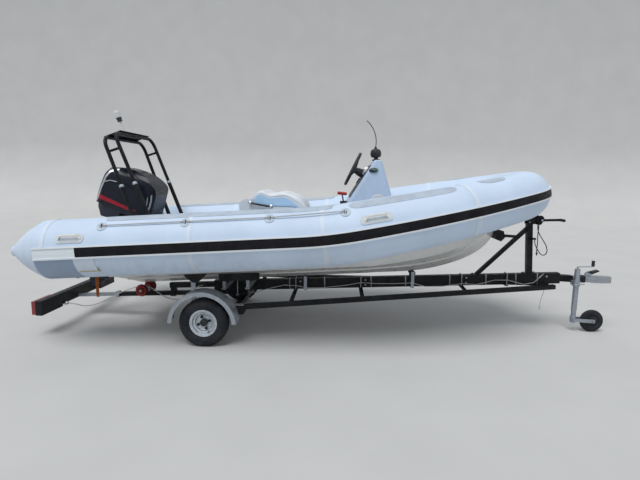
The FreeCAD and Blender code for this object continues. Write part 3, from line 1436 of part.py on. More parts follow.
def make_winch():
    """Strap winch on top of the post: cheeks, drum, gear cover and crank."""
    base_z = POST_TOP_Z
    x = POST_X + 12
    plate = box(x - 60, x + 74, -36, 36, base_z, base_z + 5)
    cheek = [(x - 55, base_z + 4), (x + 70, base_z + 4), (x + 92, base_z + 40),
             (x + 66, base_z + 78), (x - 10, base_z + 86), (x - 58, base_z + 40)]
    cheeks = [prism_y(cheek, -40, -35), prism_y(cheek, 35, 40)]
    drum = rod(V(x + 26, -36, base_z + 44), V(x + 26, 36, base_z + 44), 30)
    cover = rod(V(x + 50, -52, base_z + 46), V(x + 50, -39, base_z + 46), 36)
    shaft = rod(V(x + 56, -74, base_z + 40), V(x + 56, 42, base_z + 40), 8)
    crank = bar(V(x + 56, -70, base_z + 40), V(x + 226, -70, base_z + 46), 8, 22)
    grip = rod(V(x + 222, -140, base_z + 46), V(x + 222, -66, base_z + 46), 13)
    rope_tab = box(x + 16, x + 44, -88, -30, base_z, base_z + 5)
    return fused([plate, drum, cover, shaft, crank, grip, rope_tab] + cheeks)


def make_bow_snubber():
    """Black rubber V block that the stem rests against, on an arm from the post."""
    block = prism_y([(2568, 862), (2628, 838), (2662, 874), (2648, 936), (2592, 948)], -55, 55)
    arm = bar(V(2650, 0, 888), V(2800, 0, 880), 30, 24).cut(strut_bar())
    arm = max(arm.Solids, key=lambda solid: solid.Volume)
    return fused([block, arm])


def make_coupling():
    """Pressed ball coupling with its socket, latch lever and mounting tail."""
    centre_z = COUPLING_Z
    tail = box(COUPLING_TAIL_X, 3520, -34, 34, centre_z - 26, centre_z + 26)
    head_plan = [(3500, -34), (3600, -40), (COUPLING_NOSE_X - 10, -32),
                 (COUPLING_NOSE_X - 10, 32, COUPLING_NOSE_X, 0), (3600, 40), (3500, 34)]
    head = prism_z(head_plan, centre_z - 32, centre_z + 26)
    lever = prism_y([(3446, centre_z + 20), (3462, centre_z + 60), (3560, centre_z + 88),
                     (3580, centre_z + 76), (3506, centre_z + 42), (3488, centre_z + 20)], -14, 14)
    body = fused([tail, head])
    socket = Part.makeCylinder(BALL_SOCKET_R, BALL_SOCKET_DEPTH, V(BALL_X, 0, centre_z - 32), UP)
    return fused([body, lever]).cut(socket)


def make_drawbar():
    """Square drawbar end that joins the spine to the coupling."""
    size = 60.0
    drawbar = bar(V(SPINE_FRONT_X - 3, 0, spine_z(SPINE_FRONT_X - 3)),
                  V(COUPLING_TAIL_X + 10, 0, COUPLING_Z), size, size)
    return drawbar.cut(box(COUPLING_TAIL_X, COUPLING_TAIL_X + 100, -100, 100, 300, 700))


def jockey_at(z):
    return V(JOCKEY_X, JOCKEY_Y, z)


def make_jockey_tube():
    """Outer tube held by a clamp on the drawbar, with its crank on top."""
    outer = pipe(jockey_at(JOCKEY_OUTER_LOW), jockey_at(JOCKEY_OUTER_TOP), JOCKEY_OUTER_R,
                 JOCKEY_OUTER_R - JOCKEY_TUBE_WALL)
    cap = rod(jockey_at(JOCKEY_OUTER_TOP), jockey_at(JOCKEY_OUTER_TOP + 12), JOCKEY_OUTER_R)
    spindle = rod(jockey_at(JOCKEY_OUTER_TOP + 10), jockey_at(JOCKEY_OUTER_TOP + 34), 7)
    crank = bar(jockey_at(JOCKEY_OUTER_TOP + 30), jockey_at(JOCKEY_OUTER_TOP + 30) + V(140, 0, 6),
                16, 6)
    grip = rod(jockey_at(JOCKEY_OUTER_TOP + 30) + V(136, 0, 4),
               jockey_at(JOCKEY_OUTER_TOP + 30) + V(136, 0, 60), 11)
    return fused([outer, cap, spindle, crank, grip])


def make_jockey_clamp():
    """Split clamp that grips the outer tube, bolted to the side of the drawbar."""
    ring = Part.makeCylinder(JOCKEY_OUTER_R + 9, 46, jockey_at(438))
    lug = box(JOCKEY_X - 28, JOCKEY_X + 28, JOCKEY_Y + 10, -34 - SEAT_GAP, 440, 482)
    body = fused([ring, lug])
    return body.cut(Part.makeCylinder(JOCKEY_OUTER_R + SEAT_GAP, 80, jockey_at(420)))


JOCKEY_FORK_TOP = 146.0


def make_jockey_leg():
    """Inner tube that slides in the outer one."""
    low = JOCKEY_FORK_TOP + SEAT_GAP
    return rod(jockey_at(low), jockey_at(470), JOCKEY_INNER_R)


def make_jockey_fork():
    """Swivelling fork that trails the small wheel."""
    wheel = V(JOCKEY_X + JOCKEY_TRAIL, JOCKEY_Y, JOCKEY_WHEEL_R)
    cheek_y = JOCKEY_WHEEL_WIDTH / 2 + 5
    crown = Part.makeCylinder(28, 10, jockey_at(JOCKEY_FORK_TOP - 10))
    stem = Part.makeCylinder(24, 50, jockey_at(JOCKEY_FORK_TOP - 60))
    pieces = [crown, stem]
    for side in SIDES:
        y = JOCKEY_Y + side * cheek_y
        pieces.append(bar(V(JOCKEY_X - 6, y, JOCKEY_WHEEL_R + 10), V(wheel.x + 18, y, wheel.z), 5, 34))
    bridge = box(JOCKEY_X - 14, JOCKEY_X + 14, JOCKEY_Y - cheek_y - 2, JOCKEY_Y + cheek_y + 2,
                 JOCKEY_WHEEL_R - 4, JOCKEY_WHEEL_R + 24)
    axle = rod(V(wheel.x, JOCKEY_Y - cheek_y - 8, wheel.z), V(wheel.x, JOCKEY_Y + cheek_y + 8, wheel.z),
               8)
    return fused(pieces + [bridge, axle])


def make_jockey_wheel():
    """Solid rubber wheel on a plain hub."""
    base = V(JOCKEY_X + JOCKEY_TRAIL, JOCKEY_Y, JOCKEY_WHEEL_R)
    half = JOCKEY_WHEEL_WIDTH / 2
    r = JOCKEY_WHEEL_R
    profile = [(-half, 8 + PIN_GAP), (-half, 30), (-half + 8, 34), (-half + 8, 60), (-half, 66),
               (-half + 2, r - 12), (half - 2, r - 12, 0, r), (half, 66), (half - 8, 60),
               (half - 8, 34), (half, 30), (half, 8 + PIN_GAP)]
    return turned(profile, base, PORT, FORWARD)


def make_light_board():
    """Black light board across the tail, with a bare number plate field."""
    back, front = BOARD_AFT_X, BOARD_AFT_X + BOARD_DEPTH
    beam = box(back, front, -BOARD_HALF, BOARD_HALF, BOARD_LOW_Z, BOARD_TOP_Z)
    slot = box(back + BOARD_WEB, front + 1, -330, 330, BOARD_LOW_Z - 1, BOARD_TOP_Z - 12)
    field = box(back - PLATE_FIELD_THICK, back, -PLATE_FIELD_HALF, PLATE_FIELD_HALF,
                BOARD_LOW_Z + 6, BOARD_TOP_Z - 6)
    return fused([beam.cut(slot), field])


def make_lamps():
    """Red lamp lenses on the aft face at both ends."""
    lamps = []
    for side in SIDES:
        inner, outer = side * (BOARD_HALF - 240), side * (BOARD_HALF - 2)
        lamps.append(box(BOARD_AFT_X - 32, BOARD_AFT_X - SEAT_GAP, min(inner, outer),
                         max(inner, outer), BOARD_LOW_Z + 6, BOARD_TOP_Z - 4))
    return lamps


PLATE_LAMP = (BOARD_AFT_X + BOARD_WEB, -285.0, BOARD_LOW_Z + 18)
PLATE_LAMP_LENGTH = 70.0


def make_plate_lamp():
    """Small bright lamp on the front of the light board, where its cable leaves."""
    base = V(*PLATE_LAMP)
    return turned([(0, 0), (0, 17), (PLATE_LAMP_LENGTH - 8, 15), (PLATE_LAMP_LENGTH, 6),
                   (PLATE_LAMP_LENGTH, 0)], base, FORWARD, UP)


LAMP_CABLE_R = 4.5
LAMP_CABLE = [
    (-1424, -285, 208), (-1374, -285, 208), (-1290, -240, 164), (-1204, -182, 174),
    (-1115, -124, 216), (-1040, -84, 258), (-962, -60, 290), (-884, -52, 314),
    (-826, -50, 325), (-768, -50, 324), (-712, -52, 307), (-658, -56, 267), (-598, -60, 228),
    (-522, -62, 204), (-442, -62, 202), (-374, -57, 232), (-322, -46, 286),
    (-272, -34, 336), (-215, -34, 348.5)]

WINCH_ROPE_R = 4.0
WINCH_ROPE = [
    (2952, -56, 1005), (2952, -56, 962), (2970, -58, 916), (2998, -60, 873),
    (3028, -60, 832), (3051, -59, 788), (3057, -58, 745), (3034, -58, 714),
    (3000, -57, 722), (2972, -56, 760), (2950, -53, 801), (2938, -50, 832),
    (2938, -50, 860)]

ROPE_TAIL = [(2952, -78, 1005), (2952, -78, 960), (2949, -76, 900), (2954, -78, 842),
             (2951, -77, 790), (2953, -76, 745)]

BREAKAWAY_R = 2.5
BREAKAWAY = [(3085, -12, 438), (3084, -13, 396), (3076, -15, 350), (3062, -19, 304),
             (3050, -22, 258), (3047, -23, 218)]

WIRING_R = 3.5
WIRING_BEND = 26.0
WIRING_Y = -45.2
WIRING = [
    (226, -14, 286), (275, -22, 282), (335, WIRING_Y, 296), (430, WIRING_Y, 330),
    (590, WIRING_Y, 370), (700, WIRING_Y, 366), (806, WIRING_Y, 348), (960, WIRING_Y, 352),
    (1178, WIRING_Y, 381), (1330, WIRING_Y, 410), (1480, WIRING_Y, 406),
    (1648, WIRING_Y, 409), (1819, WIRING_Y, 420), (1945, WIRING_Y, 388),
    (2110, WIRING_Y, 394), (2290, WIRING_Y, 424), (2430, WIRING_Y, 418),
    (2600, WIRING_Y, 466),
    (2722, WIRING_Y, 468), (2873, WIRING_Y, 430), (2964, WIRING_Y, 450),
    (3046, WIRING_Y, 535)]


def along_points(table):
    return [V(*row) for row in table]


def make_rope_knot():
    """Stopper knot that closes the rope's hanging tail."""
    end, before = [V(*ROPE_TAIL[index]) for index in (-1, -2)]
    r = WINCH_ROPE_R
    profile = [(0, 0), (0, r), (1.4 * r, 2.5 * r, 0.3 * r, 2.0 * r), (2.6 * r, 2.1 * r),
               (4.2 * r, 2.4 * r, 3.4 * r, 2.7 * r), (5.2 * r, r), (7.6 * r, 0.9 * r), (7.6 * r, 0)]
    return turned(profile, end, (end - before).normalize(), PORT)


def make_breakaway_clip():
    """Ferrule and flat snap hook on the end of the breakaway cable."""
    end, before = [V(*BREAKAWAY[index]) for index in (-1, -2)]
    along = (end - before).normalize()
    ferrule = rod(end, end + along * 16, BREAKAWAY_R + 1.5)
    hook = Part.makeTorus(9, 2.2, end + along * 24, PORT)
    return fused([ferrule, hook])


def make_cable_clip():
    """Block on the side of the tail that the lamp cable enters."""
    end, before = [V(*LAMP_CABLE[index]) for index in (-1, -2)]
    block = bar(end, end + (end - before).normalize() * 40, 18, 24)
    return block.cut(spine_bar(TAIL_AFT_X, SPINE_AFT_X, TAIL_SIZE, TAIL_SIZE, TAIL_LIFT))


def make_wiring():
    """Cable clipped along the near side of the spine."""
    return bent_rod(along_points(WIRING), WIRING_R, WIRING_BEND)


def make_strap():
    """Webbing that hangs from a ring patch under the starboard tube."""
    eye = boat_point(V(-930, -TUBE_HALF_SPAN + 70, TUBE_Z - TUBE_R + 30))
    strap = bar(V(eye.x, eye.y, 388), eye, 3, 26, up=FORWARD)
    tube = straight_length(STARBOARD_SIDE, tube_section(SEAT_GAP), CONE_START_X, SHEER_START_X)
    return strap.cut(on_boat(tube))


def on_boat_all(solids):
    return [on_boat(solid) for solid in solids]


def build_nodes():
    """Every node by name, as a list of solids."""
    console_fittings = [fused([make_dash(), make_helm_boss()]), make_throttle(),
                        fused([make_mast_foot(), make_antenna()])]
    return {
        "tube_starboard": [on_boat(make_tube(STARBOARD_SIDE))],
        "tube_port": [on_boat(make_tube(PORT_SIDE))],
        "tube_bow": [on_boat(make_bow_tube())],
        "tube_cones": on_boat_all(make_cones()),
        "rub_strake": [on_boat(make_rub_strake())],
        "strake_trim": [on_boat(make_strake_trim())],
        "hull": [on_boat(make_hull())],
        "transom": [on_boat(make_transom())],
        "console": [on_boat(fused([make_console(), make_console_hatch()]))],
        "console_fittings": on_boat_all(console_fittings),
        "steering_wheel": [on_boat(make_steering_wheel())],
        "side_lights": on_boat_all(make_side_lights()),
        "seat_base": [on_boat(make_seat_base())],
        "seat_cushion": [on_boat(make_seat_cushion())],
        "seat_handles": on_boat_all(make_seat_handles()),
        "light_arch": on_boat_all([make_arch(), make_arch_plate()]),
        "stern_light": [on_boat(make_stern_light())],
        "carry_handles": on_boat_all(make_carry_handles()),
        "lifeline_rings": on_boat_all(make_lifeline_rings()),
        "lifelines": on_boat_all(make_lifelines()),
        "clamp_bracket": [make_clamp_bracket()],
        "swivel_bracket": [make_swivel_bracket()],
        "outboard_leg": [make_outboard_leg()],
        "cowl": [make_cowl()],
        "engine_block": [make_engine_block()],
        "propeller": [make_propeller()],
        "spine": [make_spine()],
        "slide_bar": [make_slide_bar()],
        "rail_starboard": [make_rail(STARBOARD_SIDE)],
        "rail_port": [make_rail(PORT_SIDE)],
        "cross_members": make_cross_members(),
        "u_bolts": make_u_bolts(),
        "axle": [make_axle()],
        "fender_starboard": [make_fender(STARBOARD_SIDE)],
        "fender_port": [make_fender(PORT_SIDE)],
        "tyre_starboard": [make_tyre(STARBOARD_SIDE)],
        "tyre_port": [make_tyre(PORT_SIDE)],
        "rim_starboard": [make_rim(STARBOARD_SIDE)],
        "rim_port": [make_rim(PORT_SIDE)],
        "rollers": make_keel_rollers() + make_stern_rollers(),
        "roller_brackets": make_roller_brackets() + [make_stern_bracket()],
        "support_frame": [make_support_frame()] + make_bunk_frame(),
        "support_pads": make_support_pads() + make_bunks(),
        "winch_post": [make_winch_post()],
        "winch": [make_winch()],
        "bow_snubber": [make_bow_snubber()],
        "coupling": [make_coupling()],
        "jockey_tube": [make_jockey_tube(), make_jockey_clamp()],
        "jockey_leg": [make_jockey_leg()],
        "jockey_fork": [make_jockey_fork()],
        "jockey_wheel": [make_jockey_wheel()],
        "light_board": [make_light_board(), make_cable_clip()],
        "lamps": make_lamps() + [make_plate_lamp()],
        "lamp_cable": [cord("lamp_cable", along_points(LAMP_CABLE), LAMP_CABLE_R)],
        "winch_rope": [cord("winch_rope", along_points(WINCH_ROPE), WINCH_ROPE_R)],
        "rope_tail": [cord("rope_tail", along_points(ROPE_TAIL), WINCH_ROPE_R)],
        "breakaway_cable": [cord("breakaway_cable", along_points(BREAKAWAY), BREAKAWAY_R)],
        "cord_ends": [make_rope_knot(), make_breakaway_clip()],
        "wiring": [make_wiring()],
        "hanging_strap": [make_strap()],
    }


STERN_TIP = boat_point(V(CONE_START_X - CONE_LENGTH, 0, TUBE_Z))
ORIGIN_X = (COUPLING_NOSE_X + STERN_TIP.x) / 2


def export_all():
    os.makedirs("parts", exist_ok=True)
    for name, solids in build_nodes().items():
        shape = solids[0] if len(solids) == 1 else Part.makeCompound(solids)
        shape = shape.copy()
        shape.translate(V(-ORIGIN_X, 0, 0))
        shape.exportStep("parts/" + name + ".step")
        print(name, len(shape.Solids), shape.isValid(), round(shape.Volume / 1e6, 3))


export_all()
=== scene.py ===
import json
import math

import bmesh
import bpy
from mathutils import Matrix, Quaternion, Vector
from mathutils.bvhtree import BVHTree


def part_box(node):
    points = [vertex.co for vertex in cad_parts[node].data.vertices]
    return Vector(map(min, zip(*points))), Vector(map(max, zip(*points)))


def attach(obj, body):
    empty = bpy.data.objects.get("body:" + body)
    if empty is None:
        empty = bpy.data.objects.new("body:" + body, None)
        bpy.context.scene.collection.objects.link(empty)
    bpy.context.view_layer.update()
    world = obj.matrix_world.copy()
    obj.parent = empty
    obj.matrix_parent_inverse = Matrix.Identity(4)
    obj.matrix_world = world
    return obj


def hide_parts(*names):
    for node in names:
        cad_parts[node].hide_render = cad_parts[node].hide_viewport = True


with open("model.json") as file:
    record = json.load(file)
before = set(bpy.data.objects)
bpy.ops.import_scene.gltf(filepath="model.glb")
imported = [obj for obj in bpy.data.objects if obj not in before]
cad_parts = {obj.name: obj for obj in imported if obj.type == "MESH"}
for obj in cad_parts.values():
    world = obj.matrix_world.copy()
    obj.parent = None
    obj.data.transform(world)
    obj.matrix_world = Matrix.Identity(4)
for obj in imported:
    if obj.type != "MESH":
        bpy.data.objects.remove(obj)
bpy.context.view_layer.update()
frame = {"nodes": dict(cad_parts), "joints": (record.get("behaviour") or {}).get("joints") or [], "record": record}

# An inflatable boat with a rigid hull on its road trailer, in metres, dressed for the photograph.
# X points to the bow, Y to port, Z up. The working frames below are the trailer's, measured from
# the road axle, the level boat's, and the upright motor's.

NODES = frame["nodes"]
ROOT = "boat_and_trailer"
STARBOARD, PORT = -1, 1
SIDES = (STARBOARD, PORT)
FORE, PORT_AXIS, UP = Vector((1, 0, 0)), Vector((0, 1, 0)), Vector((0, 0, 1))


def joint_place(name):
    return Vector(next(j["pos_m"] for j in frame["joints"] if j["name"] == name))


AXLE_X = -joint_place("road_wheel_starboard").x
TRIM = math.radians(3.7)
TRIM_CENTRE = Vector((0, 0, 0.9))
MOTOR_TILT = math.radians(19.7)
TILT_AXIS = Vector((-0.833, 0, 1.034))
TRAILER = Matrix.Translation((-AXLE_X, 0, 0))
BOAT = (TRAILER @ Matrix.Translation(TRIM_CENTRE) @ Matrix.Rotation(-TRIM, 4, "Y")
        @ Matrix.Translation(-TRIM_CENTRE))
MOTOR = BOAT @ Matrix.Translation(TILT_AXIS) @ Matrix.Rotation(MOTOR_TILT, 4, "Y")
BOAT_TURN = BOAT.to_3x3()


def on_trailer(x, y, z):
    return TRAILER @ Vector((x, y, z))


def on_boat(x, y, z):
    return BOAT @ Vector((x, y, z))


def on_motor(x, y, z):
    return MOTOR @ Vector((x, y, z))


# Camera, lights and the pale studio

LENS_MM = 24.75
SENSOR_MM = 36
CAMERA_PLACE = (1.10, -4.20, 1.42)
CAMERA_TURNS = [math.radians(angle) for angle in (2.34, 8.23, 0.76)]
SKY_COLOUR, SKY_STRENGTH = (0.90, 0.95, 1.0, 1), 0.42
SEEN_COLOUR = (0.80, 0.82, 0.84, 1)
# Name, strength, and in degrees the angle across, height and bearing of each light.
SUNS = (("high_sun", 1.98, 36, 64, 205), ("fill", 0.18, 90, 25, 20))


def camera_matrix(place, yaw, pitch, roll):
    """Camera axes from where it looks: yaw to port of square, pitch down, roll about the view."""
    look = Vector((-math.sin(yaw) * math.cos(pitch), math.cos(yaw) * math.cos(pitch),
                   -math.sin(pitch)))
    level = Vector((math.cos(yaw), math.sin(yaw), 0))
    below = look.cross(level)
    right = level * math.cos(roll) - below * math.sin(roll)
    down = level * math.sin(roll) + below * math.cos(roll)
    turn = Matrix((right, -down, -look)).transposed().to_4x4()
    return Matrix.Translation(place) @ turn


def set_camera():
    data = bpy.data.cameras.new("camera")
    data.sensor_width = SENSOR_MM
    data.lens = LENS_MM
    data.clip_start = 0.05
    data.clip_end = 100
    camera = bpy.data.objects.new("camera", data)
    bpy.context.collection.objects.link(camera)
    camera.matrix_world = camera_matrix(on_trailer(*CAMERA_PLACE), *CAMERA_TURNS)
    bpy.context.scene.camera = camera


def set_lights():
    """A soft sky with a broad sun high over the near side, and a weak fill from behind."""
    world = bpy.data.worlds.new("studio")
    world.use_nodes = True
    nodes, links = world.node_tree.nodes, world.node_tree.links
    sky = nodes["Background"]
    sky.inputs["Color"].default_value = SKY_COLOUR
    sky.inputs["Strength"].default_value = SKY_STRENGTH
    seen = nodes.new("ShaderNodeBackground")
    seen.inputs["Color"].default_value = SEEN_COLOUR
    rays = nodes.new("ShaderNodeLightPath")
    either = nodes.new("ShaderNodeMath")
    either.operation = "MAXIMUM"
    links.new(rays.outputs["Is Camera Ray"], either.inputs[0])
    links.new(rays.outputs["Is Glossy Ray"], either.inputs[1])
    mix = nodes.new("ShaderNodeMixShader")
    links.new(either.outputs[0], mix.inputs["Fac"])
    links.new(sky.outputs[0], mix.inputs[1])
    links.new(seen.outputs[0], mix.inputs[2])
    links.new(mix.outputs[0], nodes["World Output"].inputs["Surface"])
    bpy.context.scene.world = world
    for name, strength, *angles in SUNS:
        across, height, bearing = [math.radians(angle) for angle in angles]
        data = bpy.data.lights.new(name, "SUN")
        data.energy = strength
        data.angle = across
        sun = bpy.data.objects.new(name, data)
        from_where = Vector((math.sin(bearing) * math.cos(height),
                             math.cos(bearing) * math.cos(height), math.sin(height)))
        sun.rotation_euler = from_where.to_track_quat("Z", "Y").to_euler()
        bpy.context.collection.objects.link(sun)
    bpy.context.scene.view_settings.view_transform = "Standard"


# Finishes

class Finish:
    """One material and its patterns, which read the piece's own coordinates in metres."""

    def __init__(self, name, colour, rough, metal=0.0, spec=0.5, coat=0.0, coat_rough=0.05):
        self.material = bpy.data.materials.new(name)
        self.material.use_nodes = True
        self.tree = self.material.node_tree
        self.shader = self.tree.nodes["Principled BSDF"]
        for socket, value in (("Base Color", (*colour, 1)), ("Roughness", rough),
                              ("Metallic", metal), ("Specular IOR Level", spec),
                              ("Coat Weight", coat), ("Coat Roughness", coat_rough)):
            self.shader.inputs[socket].default_value = value
        self.place = self.add("ShaderNodeTexCoord").outputs["Object"]

    def add(self, kind, **settings):
        node = self.tree.nodes.new(kind)
        for key, value in settings.items():
            setattr(node, key, value)
        return node

    def join(self, source, target):
        self.tree.links.new(source, target)

    def feed(self, value, socket):
        """Gives a socket an output, a number or a colour."""
        if isinstance(value, (int, float)):
            socket.default_value = value
        elif isinstance(value, tuple):
            socket.default_value = (*value, 1)
        else:
            self.join(value, socket)

    def stretched(self, scale, turn=(0, 0, 0)):
        """The piece's coordinates, turned and scaled axis by axis."""
        node = self.add("ShaderNodeMapping")
        node.inputs["Rotation"].default_value = turn
        node.inputs["Scale"].default_value = scale
        self.join(self.place, node.inputs["Vector"])
        return node.outputs["Vector"]

    def noise(self, scale, detail=4.0, rough=0.5, where=None, warp=0.0):
        node = self.add("ShaderNodeTexNoise")
        for socket, value in (("Scale", scale), ("Detail", detail), ("Roughness", rough),
                              ("Distortion", warp)):
            node.inputs[socket].default_value = value
        self.join(where or self.place, node.inputs["Vector"])
        return node.outputs["Fac"]

    def cells(self, scale, output="Distance", feature="F1"):
        node = self.add("ShaderNodeTexVoronoi", feature=feature)
        node.inputs["Scale"].default_value = scale
        self.join(self.place, node.inputs["Vector"])
        return node.outputs[output]

    def waves(self, scale, direction="X", where=None):
        node = self.add("ShaderNodeTexWave", bands_direction=direction)
        node.inputs["Scale"].default_value = scale
        self.join(where or self.place, node.inputs["Vector"])
        return node.outputs["Fac"]

    def part(self, axis, where=None):
        """One coordinate of the piece."""
        node = self.add("ShaderNodeSeparateXYZ")
        self.join(where or self.place, node.inputs[0])
        return node.outputs[axis]

    def within(self, value, low, high, to_low=0.0, to_high=1.0):
        node = self.add("ShaderNodeMapRange", clamp=True)
        for index, number in enumerate((low, high, to_low, to_high), 1):
            node.inputs[index].default_value = number
        self.join(value, node.inputs["Value"])
        return node.outputs["Result"]

    def patches(self, noise, *limits):
        """Noise of a scale, detail and roughness, spread between limits."""
        return self.within(self.noise(*noise), *limits)

    def sum(self, first, second, how="ADD"):
        node = self.add("ShaderNodeMath", operation=how)
        self.feed(first, node.inputs[0])
        self.feed(second, node.inputs[1])
        return node.outputs[0]

    def blend(self, share, first, second):
        """Mixes two colours, each a triple or an output."""
        node = self.add("ShaderNodeMix", data_type="RGBA")
        self.feed(share, node.inputs["Factor"])
        self.feed(first, node.inputs[6])
        self.feed(second, node.inputs[7])
        return node.outputs[2]

    def clouded(self, share, colour, dark, light):
        """A colour that goes from a darker to a lighter shade of itself."""
        return self.blend(share, shade(colour, dark), shade(colour, light))

    def soiled(self, share, amount, tone, dirt):
        """Lays dirt on a tone, as thick as the share times the amount."""
        return self.blend(self.sum(share, amount, "MULTIPLY"), tone, dirt)

    def done(self, tone, rough, height, depth, strength):
        """Joins the colour, roughness patches, and a bump whose full height is a depth in metres."""
        bump = self.add("ShaderNodeBump")
        bump.inputs["Strength"].default_value = strength
        bump.inputs["Distance"].default_value = depth
        self.join(height, bump.inputs["Height"])
        for source, socket in ((tone, "Base Color"), (self.patches(*rough), "Roughness"),
                               (bump.outputs[0], "Normal")):
            self.join(source, self.shader.inputs[socket])
        return self.material


def shade(colour, factor):
    return tuple(min(1.0, c * factor) for c in colour)


def tube_cloth(name, colour):
    """Coated tube fabric: fine weave, faint clouding, and a darkening low down that is partly road film in drips
    and partly painted shade on the tube's lower half.
    """
    f = Finish(name, colour, 0.5, spec=0.35)
    tone = f.clouded(f.patches((2.6, 3), 0.35, 0.68), colour, 0.94, 1.04)
    # Painted shade and road film: below about 0.92 m every point darkens towards the grime colour as shade on the
    # underside, and more along the drips.
    drips_over_shade = f.patches((1.0, 5, 0.6, f.stretched((16, 16, 1.6))), 0.45, 0.75, 0.30, 0.85)
    low_film_and_shade = f.sum(f.within(f.part("Z"), 0.92, 0.62), drips_over_shade, "MULTIPLY")
    weave = f.sum(f.waves(420), f.waves(420, "Z"))
    return f.done(f.soiled(low_film_and_shade, 0.50, tone, (0.30, 0.29, 0.27)), ((9, 4), 0.3, 0.75, 0.42, 0.6),
                  f.sum(weave, f.noise(30, 3)), 0.00025, 0.6)


def gelcoat(name, colour, dirt):
    """Moulded gelcoat: a glossy skin over faint print-through, with runs of dirt."""
    f = Finish(name, colour, 0.3, spec=0.5, coat=0.35, coat_rough=0.12)
    tone = f.clouded(f.patches((3.5, 4), 0.3, 0.7), colour, 0.95, 1.03)
    runs = f.patches((1.0, 6, 0.62, f.stretched((9, 9, 3.2)), 0.4), 0.5, 0.85)
    return f.done(f.soiled(runs, dirt, tone, (0.30, 0.29, 0.26)), ((14, 5), 0.3, 0.8, 0.22, 0.48),
                  f.noise(55, 2), 0.0006, 0.25)


def black_paint(name, colour, rust=0.35):
    """Satin black on steel: orange peel, road dust on it and a few rusty chips."""
    f = Finish(name, colour, 0.42, spec=0.14)
    tone = f.soiled(f.patches((12, 6, 0.62), 0.42, 0.8), 0.3, colour, (0.075, 0.072, 0.07))
    tone = f.soiled(f.patches((38, 6, 0.7), 0.68, 0.72), rust, tone, (0.16, 0.06, 0.025))
    return f.done(tone, ((20, 5), 0.3, 0.75, 0.34, 0.62), f.noise(260, 2), 0.0004, 0.4)


def zinc(name, colour, wear=0.5):
    """Hot-dip zinc: spangle, dull patches and white bloom."""
    f = Finish(name, colour, 0.42, metal=0.85)
    spangle = f.within(f.part("X", f.cells(75, "Color")), 0.0, 1.0)
    tone = f.clouded(spangle, colour, 0.84, 1.12)
    tone = f.soiled(f.patches((9, 6, 0.65), 0.45, 0.72), wear, tone, (0.36, 0.35, 0.33))
    tone = f.soiled(f.patches((26, 6, 0.7), 0.66, 0.74), 0.4, tone, (0.23, 0.11, 0.05))
    return f.done(tone, ((16, 5), 0.3, 0.7, 0.34, 0.66), f.noise(120, 3), 0.0004, 0.4)


def rubber(name, colour, dust=0.4, grain=180):
    """Matt rubber or soft plastic with dust in its grain."""
    f = Finish(name, colour, 0.62, spec=0.16)
    tone = f.soiled(f.patches((10, 6, 0.6), 0.4, 0.75), dust, colour, (0.11, 0.105, 0.10))
    return f.done(tone, ((22, 4), 0.3, 0.7, 0.5, 0.78), f.noise(grain, 3), 0.0005, 0.5)


def plastic(name, colour, rough, coat=0.0, dust=0.12):
    """Moulded plastic with a fine grain and a little dust."""
    f = Finish(name, colour, rough, spec=0.25, coat=coat, coat_rough=0.08)
    tone = f.clouded(f.patches((5, 2), 0.3, 0.7), colour, 0.92, 1.08)
    tone = f.soiled(f.patches((16, 5, 0.6), 0.45, 0.8), dust, tone, (0.30, 0.29, 0.28))
    return f.done(tone, ((24, 4), 0.3, 0.7, max(0.05, rough - 0.08), rough + 0.12),
                  f.noise(300, 2), 0.0003, 0.35)


def lacquer(name, colour, rough):
    """Deep gloss paint for the motor: metallic fleck under a clear coat, faint swirls."""
    f = Finish(name, colour, rough, spec=0.16, coat=0.16, coat_rough=0.06)
    fleck = f.within(f.part("X", f.cells(1400, "Color")), 0.75, 1.0)
    tone = f.soiled(fleck, 0.16, colour, (0.05, 0.07, 0.13))
    tone = f.soiled(f.patches((11, 6, 0.6), 0.5, 0.85), 0.05, tone, (0.20, 0.20, 0.20))
    return f.done(tone, ((35, 5), 0.3, 0.8, rough, rough + 0.16), f.noise(8, 1), 0.001, 0.12)


def bright_metal(name, colour, rough=0.24):
    f = Finish(name, colour, rough, metal=1.0)
    tone = f.blend(f.patches((30, 5), 0.4, 0.75), colour, shade(colour, 0.7))
    return f.done(tone, ((60, 4), 0.3, 0.75, rough, rough + 0.2), f.noise(200, 2), 0.0002, 0.3)


def clear_lens(name, colour):
    """Ribbed lamp lens, deep in its own colour."""
    f = Finish(name, colour, 0.12, spec=0.6, coat=0.5, coat_rough=0.05)
    ribs = f.waves(34, "Y")
    tone = f.clouded(f.within(ribs, 0.2, 0.9), colour, 0.62, 1.15)
    return f.done(tone, ((30, 3), 0.3, 0.7, 0.12, 0.24), f.sum(ribs, f.waves(34, "Z")), 0.0012, 0.5)


def laid_rope(name, colour, pitch=90):
    """Twisted or braided cordage, with a diagonal lay along the boat."""
    f = Finish(name, colour, 0.8, spec=0.2)
    lay = f.waves(pitch, where=f.stretched((1, 1, 1), turn=(0, 0.9, 0.9)))
    tone = f.blend(f.within(lay, 0.1, 0.8), shade(colour, 0.55), colour)
    return f.done(tone, ((50, 3), 0.3, 0.7, 0.7, 0.9), f.sum(lay, f.noise(600, 2)), 0.0014, 0.8)


def webbing(name, colour):
    """Woven strap with a ribbed face and patchy fading."""
    f = Finish(name, colour, 0.78, spec=0.2)
    ribs = f.waves(330, "Z")
    tone = f.clouded(f.patches((22, 4), 0.35, 0.7), colour, 0.7, 1.15)
    tone = f.blend(f.within(ribs, 0.2, 0.8), shade(colour, 0.6), tone)
    return f.done(tone, ((40, 3), 0.3, 0.7, 0.7, 0.88), f.sum(ribs, f.waves(210)), 0.0008, 0.7)


